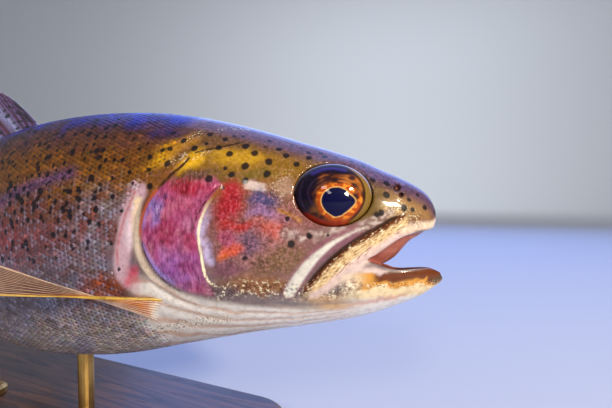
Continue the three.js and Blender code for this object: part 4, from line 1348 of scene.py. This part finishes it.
def fan(root, aim, reach, rays, fullness=1.0, across=8, out_steps=44, wave=0.0):
    """Closed fan: root plus aim times reach times out; half as thick between rays as on them."""
    u = np.linspace(0, 1, rays * across + 1)[None, :]
    out = np.linspace(-0.1, 1, out_steps)[:, None]
    single = np.abs(np.cos(np.pi * rays * u)) ** 3
    double = np.abs(np.cos(2 * np.pi * rays * u)) ** 3
    fork = ease(out, 0.42, 0.72)
    ray = single * (1 - fork) + double * fork
    ray = np.where((u < 0.5 / rays) | (u > 1 - 0.5 / rays), np.maximum(ray, 0.8), ray)
    far = out * reach(u) * (1 - 0.035 * (1 - ray) * ease(out, 0.7, 1))

    def spread(part):
        return np.stack(np.broadcast_arrays(*[np.asarray(c(u)) for c in part]), -1)

    aimed = spread(aim)
    aimed = aimed / np.linalg.norm(aimed, axis=-1, keepdims=True)
    middle = spread(root) + aimed * far[..., None]
    middle[..., 1] += wave * np.sin(7 * u + 3 * out) * np.maximum(out, 0) ** 2
    normal = np.cross(np.gradient(middle, axis=1), np.gradient(middle, axis=0))
    normal /= np.maximum(np.linalg.norm(normal, axis=-1, keepdims=True), 1e-9)
    thick = fullness * (0.62 - 0.42 * np.clip(out, 0, 1)) * (0.32 + 0.68 * ray)
    swell = normal * thick[..., None]
    rings = np.concatenate([middle + swell, (middle - swell)[:, ::-1]], 1)
    cell, walls = ring_quads(*rings.shape[:2])
    ends = []
    for ring, order in ((cell[0], 1), (cell[-1], -1)):
        near, opposite = np.split(ring, 2)
        opposite = opposite[::-1]
        caps = np.stack([near[:-1], opposite[:-1], opposite[1:], near[1:]], -1)
        ends.append(caps[:, ::order])
    parts = np.broadcast_arrays(u, out, ray, far)
    both = [np.concatenate([part, part[:, ::-1]], 1).ravel() for part in parts]
    return rings.reshape(-1, 3), np.concatenate([walls, *ends]), both


def level(first, last):
    """A value that goes straight from first to last over the fan."""
    return lambda u: first + (last - first) * u


def swept(first, last, upward=1):
    """Aims in the middle plane: the angle over straight back goes from first to last, in degrees."""
    angle = level(first, last)
    back, up = (lambda u: np.cos(np.radians(angle(u)))), (lambda u: np.sin(np.radians(angle(u))))
    return back, level(0, 0), lambda u: upward * up(u)


def fin_finish(name, sheer, jointed):
    """Amber or dusky membrane with paler rays, joints across the rays and a wet gloss."""
    f = Finish(name)
    paint = f.attribute("paint", "Color")
    ray = f.attribute("ray")
    waves = f.attribute("far") * 5.2
    joint = f.step(waves.math("SINE", waves), 0.75, 1.0) * ray
    cloud = f.noise(2.4, 3)
    colour = f.mix(f.step(cloud, 0.4, 0.7) * 0.3, paint, tint(92, 50, 28), "MULTIPLY")
    colour = f.mix(joint * jointed, colour, tint(70, 40, 26), "MULTIPLY")
    spot = f.step(f.attribute("spot") + 0.5 * (f.noise(0.9, 1) - 0.5), -0.15, 0.2)
    colour = f.mix(spot * 0.88, colour, INK)
    return f.wet(
        Base_Color=colour,
        Roughness=0.28 + 0.2 * cloud,
        IOR=1.4,
        Coat_Weight=1.0,
        Coat_Roughness=0.1,
        Subsurface_Weight=sheer,
        Subsurface_Radius=(0.8, 0.4, 0.2),
        Subsurface_Scale=0.003,
        Normal=f.bump(f.noise(0.6, 2), 0.05, 0.6),
    )


def make_fin(name, paint, finish, spots=None, slot="spotted_fin", **form):
    """Bends a fan to the pose and lays its colours: a function of u, out and ray."""
    places, faces, (u, out, ray, far) = fan(**form)
    s, y, z = places.T
    depth = np.full(len(s), -3.0)
    if spots is not None:
        for across, outward_share, radius in spots:
            length = form["reach"](across)
            off = np.hypot((u - across) * length * (0.35 + 0.65 * out), (out - outward_share) * length)
            depth = np.maximum(depth, radius - off)
    make_piece(
        name, pose(s, y, z), faces, finish, (name.replace("_rays", ""),),
        {"paint": paint(u, out, ray), "spot": depth, "ray": ray, "far": far},
    )


def spot_rows(seed, rows, columns, radius, start=0.2):
    """Seeded rows of fin spots, as [u, out, radius]."""
    draw = np.random.default_rng(seed)
    places = np.linspace(start, 0.93, rows), (np.arange(columns) + 0.5) / columns
    out, u = np.meshgrid(*places, indexing="ij")
    out = out + draw.normal(0, 0.02, out.shape)
    u = u + draw.normal(0, 0.2 / columns, u.shape)
    keep = draw.random(u.shape) < 0.8
    size = draw.uniform(0.7, 1.15, u.shape) * radius
    return np.stack([u[keep], out[keep], size[keep]], 1)


# %% Colours of the fins
def dusky(deep, pale, edge=None):
    """Membrane of one colour, rays of another, and a darker or paler free edge."""
    def paint(u, out, ray):
        colour = lay(pale, deep, ray**1.5)
        colour = lay(tint(206, 190, 178), colour, 0.5 * ease(0.12 - out, 0, 0.1))
        return colour if edge is None else lay(edge, colour, 0.8 * ease(out, 0.86, 1))
    return paint


def dorsal_paint(u, out, ray):
    """Dusky violet, with two pale streaks along the rays and a faint red one."""
    colour = dusky(tint(84, 36, 74), tint(142, 112, 176))(u, out, ray)
    streak = np.exp(-(((u - 0.3 - 0.1 * out) / 0.06) ** 2)) + np.exp(-(((u - 0.62) / 0.03) ** 2))
    colour = lay(tint(190, 196, 250), colour, 0.8 * np.clip(streak, 0, 1))
    return lay(tint(120, 30, 34), colour, 0.5 * np.exp(-(((u - 0.47) / 0.06) ** 2)))


def pectoral_paint(u, out, ray):
    """Amber at the root, brown web and cream rays farther out, and a golden first ray."""
    web = lay(tint(92, 54, 36), tint(190, 96, 18), ease(out + 0.3 * u, 0.24, 0.6))
    rays = lay(tint(238, 196, 168), tint(222, 140, 48), ease(u + out, 0.4, 0.9))
    colour = lay(rays, web, ease(ray, 0.5, 0.9))
    colour = lay(tint(240, 188, 76), colour, ease(0.09 - u, 0, 0.05))
    return lay(tint(244, 226, 204), colour, ease(0.1 - out, 0, 0.08) * ease(u, 0.02, 0.2))


def white_edged(base):
    """The first ray of a belly fin is white, and so is the tip behind it."""
    def paint(u, out, ray):
        return lay(tint(240, 234, 226), base(u, out, ray), ease(0.1 - u, 0, 0.05) * ease(out, 0.1, 0.4))
    return paint


# %% Make the fins
spotted = fin_finish("spotted_fin", 0.15, 0.35)
amber = fin_finish("amber_fin", 0.2, 0.06)
olive = dusky(tint(86, 70, 52), tint(138, 116, 78), tint(60, 46, 44))
rose_amber = dusky(tint(178, 112, 74), tint(220, 172, 130))

back_root = level(158, 202)
make_fin(
    "dorsal_fin_rays", dorsal_paint, spotted, spot_rows(61, 6, 9, 1.15),
    root=(back_root, level(0, 0), lambda u: BACK(back_root(u)) - 1.5),
    aim=swept(50, 28),
    reach=curve((0, 8), (0.04, 16), (0.1, 25), (0.18, 33), (0.28, 36), (0.5, 32), (0.8, 26), (1, 20)),
    rays=12, wave=0.6,
)
small_root = level(279, 287)
make_fin(
    "adipose_fin_rays", dusky(tint(120, 96, 50), tint(128, 104, 58), tint(40, 32, 30)), spotted,
    spot_rows(67, 2, 2, 1.0, 0.5),
    root=(small_root, level(0, 0), lambda u: BACK(small_root(u)) - 1),
    aim=swept(48, 26),
    reach=curve((0, 4), (0.2, 10), (0.5, 14), (0.8, 14), (1, 11)), rays=3, fullness=1.3,
)
vent_root = level(255, 287)
make_fin(
    "anal_fin_rays", white_edged(rose_amber), amber,
    root=(vent_root, level(0, 0), lambda u: BELLY(vent_root(u)) + 1.5),
    aim=swept(58, 26, -1),
    reach=curve((0, 8), (0.05, 22), (0.16, 34), (0.3, 36), (0.6, 28), (1, 18)), rays=10, wave=0.5,
    slot="amber_fin",
)
make_fin(
    "tail_fin_rays", olive, spotted, spot_rows(71, 7, 15, 1.15, 0.1),
    root=(level(347.3, 347.3), level(0, 0), level(10.6, -26.2)),
    aim=swept(34, -34),
    reach=curve(
        (0, 44), (0.04, 58), (0.09, 60), (0.25, 52), (0.5, 44), (0.75, 52), (0.91, 60), (0.96, 58), (1, 44),
    ),
    rays=18, wave=0.8,
)
for side, word in ((-1, "right"), (1, "left")):
    make_fin(
        "pelvic_fin_" + word + "_rays", white_edged(rose_amber), amber,
        root=(level(186, 197), level(side * 16.5, side * 8), level(-46.5, -48.5)),
        aim=(level(1, 1), level(side * 0.55, side * 0.08), level(-0.4, -0.34)),
        reach=curve((0, 22), (0.08, 36), (0.22, 40), (0.6, 34), (1, 22)), rays=9, slot="amber_fin",
    )
    make_fin(
        "pectoral_fin_" + word + "_rays", pectoral_paint, amber,
        np.array([[0.035, 0.1 + 0.075 * k, 0.42] for k in range(11)]),
        root=(level(79.3, 82), level(side * 20.2, side * 17.2), level(-25, -33)),
        aim=(level(1, 1), level(side * 0.4, side * 0.5), level(0.06, 0.5)),
        reach=curve((0, 50), (0.06, 62), (0.2, 65), (0.5, 63), (0.8, 57), (1, 50)),
        rays=8, across=12, slot="amber_fin",
    )

# %% [markdown]
# ## Eyes
# A trout's eye is a wide, clear dome over a copper iris, with a pupil that is not round: it comes
# to a point in front, so that the fish can look ahead. A ring of dark blue shades the iris behind
# and above. The colours are worked out on the eye's own two directions, back and up, each from -1
# to 1, and a glossy coat stands for the clear dome.

# %% Iris and pupil
def off_pupil(a, b):
    """Distance outside the pupil in eye halves: an ellipse drawn out to blunt points."""
    da, db = a + 0.08, b + 0.245
    turned = np.arctan2(db * 1.05, da)
    point = 0.1 * np.exp(-(((np.abs(turned) - math.pi) / 0.42) ** 2))
    keel = 0.05 * np.exp(-(((turned + math.pi / 2) / 0.4) ** 2))
    return np.hypot(da, db * 0.9) - (0.37 + point + keel)


IRIS_BLOTCHES = [
    # place, size and strength
    ((0.1, 0.42), (0.22, 0.09), 0.85), ((-0.47, 0.47), (0.12, 0.1), 0.95),
    ((-0.55, -0.1), (0.1, 0.17), 0.95), ((-0.74, -0.02), (0.07, 0.14), 0.8),
    ((0.36, 0.3), (0.2, 0.12), 0.7), ((-0.1, 0.62), (0.4, 0.07), 0.8),
]
# a painted reflection of the sky along the top of the clear dome
SKY_REFLECTION_ARC = [(0.5, 0.62), (0.26, 0.74), (0, 0.78), (-0.3, 0.72)]


def eye_paint(a, b):
    """Dark rim, copper iris in rings round the pupil, brown blotches, painted shade and reflections behind
    and above, a painted sky reflection and pale sheen at the top, a gold line and the pupil.
    """
    grain = blotches(83, 0.07, a, b, 0 * a)
    coarse = blotches(89, 0.24, a, b, 0 * a)
    off = off_pupil(a + 0.02 * (coarse - 0.5), b + 0.02 * (grain - 0.5))
    turned = np.arctan2(b + 0.245, a + 0.08)
    edge = np.hypot(a, b)
    colour = lay(tint(104, 52, 20), tint(52, 22, 18), ease(grain, 0.4, 0.8))
    front = ease(-a - 0.12, 0, 0.3)
    low = ease(-b - 0.25, 0, 0.35)
    colour = lay(tint(176, 104, 30), colour, 0.8 * front * ease(coarse, 0.2, 0.6))
    colour = lay(tint(150, 92, 34), colour, 0.7 * low * ease(coarse, 0.25, 0.7))
    width = 0.13 + 0.12 * front + 0.05 * low + 0.04 * np.sin(2 * turned)
    copper = lay(tint(236, 140, 40), tint(176, 72, 8), ease(grain, 0.45, 0.8))
    colour = lay(copper, colour, ease(width - off, -0.03, 0.07))
    for place, shift in ((0.2, 0.3), (0.3, 0.24), (0.4, 0.2)):
        ring = np.exp(-(((off - place - 0.02 * np.sin(3 * turned)) / 0.022) ** 2))
        ring = ring * ease(b + 0.25, 0, 0.4)
        worn = ease(0.62 - a, 0, 0.3) * ease(coarse, shift, 0.8)
        colour = lay(tint(216, 128, 70), colour, (0.9 - place) * ring * worn)
    for place, size, strength in IRIS_BLOTCHES:
        colour = lay(tint(44, 20, 30), colour, strength * blob(a, b, place, size))
    # painted shade and reflection: the iris darkens to deep blue behind and above
    shade = ease(a - 0.36 + 0.2 * b + 0.16 * (coarse - 0.5), 0, 0.2)
    shade = np.maximum(shade, ease(b - 0.52 - 0.12 * a, 0, 0.16))
    colour = lay(tint(14, 8, 30), colour, 0.95 * shade)
    # painted reflections: faint streaks in the dark part
    streaks = ease(np.sin(30 * edge + 3 * coarse), 0.5, 1) * shade
    streaks = streaks * ease(a, 0.3, 0.5) * ease(0.6 - np.abs(b), 0, 0.3)
    colour = lay(tint(70, 50, 92), colour, 0.3 * streaks)
    # painted reflection of the sky
    colour = lay(tint(70, 62, 170), colour, 0.7 * band(a, b, SKY_REFLECTION_ARC, 0.03, 0.07))
    colour = lay(tint(150, 34, 10), colour, 0.85 * ease(edge, 0.78, 0.88) * ease(-b - 0.5, 0, 0.2))
    iris_edge = np.hypot((a - 0.1) / 0.9, (b + 0.02) / 0.98)
    colour = lay(tint(34, 16, 12), colour, 0.9 * ease(iris_edge, 0.9, 0.97) * ease(-a - 0.3, 0, 0.2))
    colour = lay(tint(140, 108, 44), colour, 0.95 * ease(iris_edge, 0.98, 1.03) * ease(-a - 0.3, 0, 0.2))
    # painted pale sheen along the top of the dome
    colour = lay(tint(176, 180, 216), colour, 0.7 * ease(edge, 0.92, 0.97) * ease(b, -0.1, 0.4))
    colour = lay(tint(255, 206, 120), colour, 0.85 * np.exp(-((off / 0.02) ** 2)))
    return lay(tint(4, 3, 54), colour, ease(-off, -0.01, 0.02))


def closed_rings(rows, columns):
    """Triangles between rings of a tube, and fans to two last places that close its ends."""
    cell, walls = ring_quads(rows, columns)
    after = np.roll(cell, -1, 1)
    first = np.stack([after[0], cell[0], np.full(columns, rows * columns)], 1)
    last = np.stack([cell[-1], after[-1], np.full(columns, rows * columns + 1)], 1)
    return np.concatenate([walls[:, [0, 1, 2]], walls[:, [0, 2, 3]], first, last])


def make_eye(side, word, finish):
    """The eye's ellipsoid: rings from one pole to the other, and one place at each pole."""
    lean, turned = np.meshgrid(
        np.linspace(0, math.pi, 162)[1:-1], np.linspace(0, 2 * math.pi, 181)[:-1], indexing="ij"
    )
    reach = np.sin(lean)
    unit = np.stack([reach * np.cos(turned), side * np.cos(lean), reach * np.sin(turned)], -1)
    unit = np.concatenate([unit.reshape(-1, 3), [[0, side, 0], [0, -side, 0]]])
    flat = unit * EYE_RADII * 0.996
    lens_bulge = ease(0.02 - off_pupil(-unit[:, 0], unit[:, 2]), 0, 0.2) * (unit[:, 1] * side > 0)
    flat[:, 1] += side * 0.22 * lens_bulge
    own = flat @ eye_turn(side).T + EYE_PLACE * [1, side, 1]
    places = pose(-own[:, 0], own[:, 1], own[:, 2])
    make_piece(
        "eye_ball_" + word, places, closed_rings(*lean.shape), finish, ("eye_" + word,),
        {"paint": eye_paint(-unit[:, 0], unit[:, 2])},
    )


def eye_finish():
    """Painted iris under a very glossy clear coat; pale flecks painted into the copper stand for a
    metal-like glint.
    """
    f = Finish("eye")
    paint = f.attribute("paint", "Color")
    # painted glint: pale flecks brighten the copper
    fleck = f.step(f.noise(0.35, 2), 0.5, 0.68)
    bright = f.mix(1.0, paint, (1.6, 1.35, 1.1), "MULTIPLY")
    return f.wet(
        Base_Color=f.mix(fleck * 0.45, paint, bright), Metallic=0.0, Roughness=0.5, IOR=1.15,
        Coat_Weight=1.0, Coat_Roughness=0.02, Coat_IOR=1.25,
    )


copper_eye = eye_finish()
make_eye(-1, "right", copper_eye)
make_eye(1, "left", copper_eye)

# %% [markdown]
# ## Tongue
# The tongue shows a little between the jaws: a smooth pink wedge, round at its tip, with a shallow
# furrow down its middle and a row of low teeth-like bumps at each side.

# %% The tongue
def tongue_surface():
    """Rounded sections from tip to root; the furrow takes a bell-shaped bite out of the top."""
    s = np.concatenate([[11.0], 11 + 31 * np.linspace(0.004, 1, 60) ** 1.5])[:, None]
    t = np.linspace(0, 2 * math.pi, 49)[None, :-1]
    top = curve((11, -21.5), (14, -19.8), (30, -21.5), (42, -24))(s)
    bottom = curve((11, -22.6), (14, -23.2), (30, -28.2), (42, -29))(s)
    half = curve((11, 0.6), (13, 3.2), (20, 5.2), (42, 7))(s)
    y = 0.97 * half * signed_power(np.sin(t), 0.9)
    upright = signed_power(np.cos(t), 0.9)
    z = (top + bottom) / 2 + (top - bottom) / 2 * 0.95 * upright
    z = z - 0.5 * np.exp(-((y / 0.8) ** 2)) * ease(upright, 0, 1) * ease(s, 12, 17)
    bumps = ease(np.sin(2.6 * s), 0.2, 1) * np.exp(-(((np.abs(y) - 0.5 * half) / 0.5) ** 2))
    z = z + 0.15 * bumps * ease(upright, 0, 1)
    return np.stack(np.broadcast_arrays(s, y, z), -1)


grid = tongue_surface()
places = np.concatenate([grid.reshape(-1, 3), grid[[0, -1]].mean(1)])
lining = Finish("mouth_lining")
cloud = lining.noise(1.8, 3)
pink = lining.mix(lining.step(cloud, 0.35, 0.7), tint(196, 104, 92), tint(236, 170, 156))
mouth_lining = lining.wet(
    Base_Color=pink, Roughness=0.3 + 0.2 * cloud, Coat_Weight=1.0, Coat_Roughness=0.1,
    Subsurface_Weight=0.2, Subsurface_Radius=(1.0, 0.4, 0.3), Subsurface_Scale=0.002,
    Normal=lining.bump(lining.noise(0.5, 2), 0.06, 0.6),
)
make_piece(
    "tongue_flesh", pose(*places.T), closed_rings(*grid.shape[:2]), mouth_lining, ("tongue",),
)

# %% [markdown]
# ## The stand
# The base is a block of dark walnut, oiled, and the two rods are turned brass, brushed round by the
# lathe. Their shapes are right as the solids give them, so only their finish is new. Wood is rings
# of slow growth stretched along the block, with short dark pores; brushed metal is fine noise that
# changes fast along the rod and slowly round it.

# %% Walnut and brass
def walnut():
    """Growth rings as the steps of a stretched noise, and short dark pores along the grain."""
    f = Finish("dark_walnut")
    place = f.node("ShaderNodeTexCoord", {}, {}, "Object")
    stretch = {"Vector": place, "Scale": (1.4, 22, 22), "Rotation": (0.1, 0.04, 0.05)}
    slow = f.node("ShaderNodeMapping", {}, stretch)
    waves = {"Vector": slow, "Scale": 2.2, "Detail": 3.0, "Distortion": 1.2}
    figure = f.node("ShaderNodeTexNoise", {}, waves) * 9
    rings = figure.math("FRACT", figure)
    fine = f.node("ShaderNodeMapping", {}, {"Vector": place, "Scale": (60, 1400, 1400)})
    pores = f.node("ShaderNodeTexNoise", {}, {"Vector": fine, "Scale": 1.0, "Detail": 2.0})
    heartwood = [
        (0, tint(44, 25, 16)), (0.45, tint(84, 50, 30)), (0.8, tint(104, 64, 38)), (1, tint(58, 33, 20)),
    ]
    body = f.node("ShaderNodeValToRGB", {"stops": heartwood}, {0: rings})
    pore = f.step(pores, 0.62, 0.72)
    colour = f.mix(pore * 0.6, body, tint(26, 14, 9))
    return f.wet(
        Base_Color=colour, Roughness=0.36 + 0.25 * pore, Coat_Weight=0.3, Coat_Roughness=0.25,
        Normal=f.bump(1 - pore, 0.08, 0.5),
    )


def brass():
    """Metal whose roughness follows fine rings round the rod, a little tarnished in places."""
    f = Finish("brushed_brass")
    place = f.node("ShaderNodeTexCoord", {}, {}, "Object")
    lines = f.node("ShaderNodeMapping", {}, {"Vector": place, "Scale": (30, 30, 5200)})
    brushed = f.node("ShaderNodeTexNoise", {}, {"Vector": lines, "Scale": 1.0, "Detail": 2.0})
    tarnish = f.noise(9, 3)
    colour = f.mix(f.step(tarnish, 0.4, 0.75), tint(206, 164, 92), tint(150, 112, 60))
    return f.wet(
        Base_Color=colour, Metallic=1.0, Roughness=0.2 + 0.22 * brushed + 0.1 * tarnish,
        Normal=f.bump(brushed, 0.02, 0.5),
    )


STAND = (("stand_base", walnut()), ("stand_rod_front", brass()), ("stand_rod_rear", brass()))
for node, finish in STAND:
    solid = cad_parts[node]
    solid.data.materials.clear()
    solid.data.materials.append(finish)
print("stand finished in walnut and brass")

# %% [markdown]
# ## The studio
# A plain pale floor that curves up into a wall, so there is no horizon line, and five soft lights.
# Two broad cool ones behind and overhead draw the long wet sheen on the back. A small warm one
# ahead of the fish models its side, and a smaller share from the front puts sharp lights on the eye
# and the wet skin. The fifth lights the wall behind.

# %% Camera
CAMERA_TURN = math.radians(HEAD_TURN + 12)
BEHIND_SNOUT, AWAY, ABOVE_SNOUT, NOD = 40, 125, 8.6, 2.4
SENSOR, FOCAL_LENGTH = 36, 24.11765
sideways = np.array([math.cos(CAMERA_TURN), math.sin(CAMERA_TURN), 0])
looking = np.array([-math.sin(CAMERA_TURN), math.cos(CAMERA_TURN), 0])
stand_off = SNOUT - BEHIND_SNOUT * sideways - AWAY * looking + [0, 0, ABOVE_SNOUT]
lens = bpy.data.cameras.new("camera")
lens.sensor_width = SENSOR
lens.lens = FOCAL_LENGTH
lens.clip_start = 0.002
camera = bpy.data.objects.new("camera", lens)
camera.location = stand_off * MM
camera.rotation_euler = (math.radians(90 - NOD), 0, CAMERA_TURN)
bpy.context.collection.objects.link(camera)
bpy.context.scene.camera = camera
bpy.context.scene.view_settings.view_transform = "Standard"

# %% Floor and cove
def cove():
    """A round floor that turns up into a wall: a profile of radius and height, spun once round."""
    run = np.linspace(0, 1, 70)[:, None]
    around = np.linspace(0, 2 * math.pi, 97)[None, :-1]
    flat, bend, wall = 2.6, 1.2, 1.0
    arc = 0.5 * math.pi * bend
    travelled = run * (flat + arc + wall)
    turned = np.clip((travelled - flat) / bend, 0, math.pi / 2)
    radius = np.minimum(travelled, flat) + bend * np.sin(turned)
    height = bend * (1 - np.cos(turned)) + np.maximum(travelled - flat - arc, 0)
    spun = radius * np.cos(around), radius * np.sin(around), height
    return np.stack(np.broadcast_arrays(*spun), -1)[1:]


places = cove()
index, walls = ring_quads(*places.shape[:2])
sheet_mesh = bpy.data.meshes.new("studio_floor")
quads = [*walls[:, ::-1].tolist(), index[0].tolist()]
sheet_mesh.from_pydata(places.reshape(-1, 3).tolist(), [], quads)
sheet_mesh.shade_smooth()
floor = bpy.data.objects.new("studio_floor", sheet_mesh)
bpy.context.collection.objects.link(floor)
paper = Finish("studio_paper")
floor.data.materials.append(paper.wet(Base_Color=(*tint(214, 216, 220), 1), Roughness=0.8))

# %% Lights
def soft_light(name, place, target, width, height, power, color):
    """A glowing rectangle at a place, turned to its target and hidden from the camera."""
    lamp = bpy.data.lights.new(name, "AREA")
    lamp.shape, lamp.size, lamp.size_y = "RECTANGLE", width, height
    lamp.energy, lamp.color = power, color
    holder = bpy.data.objects.new(name, lamp)
    holder.location = place
    holder.rotation_euler = (Vector(target) - Vector(place)).to_track_quat("-Z", "Y").to_euler()
    holder.visible_camera = False
    bpy.context.collection.objects.link(holder)


for light in (
    # name, place and target in metres, width, height, power in watts and colour
    ("sky behind", (-0.05, 0.95, 0.62), (0.1, 0, 0.1), 1.6, 0.6, 6.5, (0.2, 0.36, 1.0)),
    ("sky above", (0.0, 0.45, 0.95), (0.1, 0, 0.1), 1.6, 0.7, 5.0, (0.24, 0.38, 1.0)),
    ("key", (0.92, -0.42, 0.5), (0.12, 0, 0.1), 0.1, 0.1, 8.0, (1.0, 0.9, 0.74)),
    ("front", (0.35, -1.1, 0.75), (0.12, 0, 0.1), 0.2, 0.2, 3.0, (1.0, 0.93, 0.82)),
    ("backdrop", (-0.3, 1.9, 1.5), (-0.8, 3.7, 0.5), 1.6, 0.8, 26, (0.9, 0.95, 1.0)),
):
    soft_light(*light)
world = bpy.data.worlds.new("studio")
bpy.context.scene.world = world
world.use_nodes = True
world.node_tree.nodes["Background"].inputs["Color"].default_value = (0.9, 0.92, 1.0, 1)
world.node_tree.nodes["Background"].inputs["Strength"].default_value = 0.28
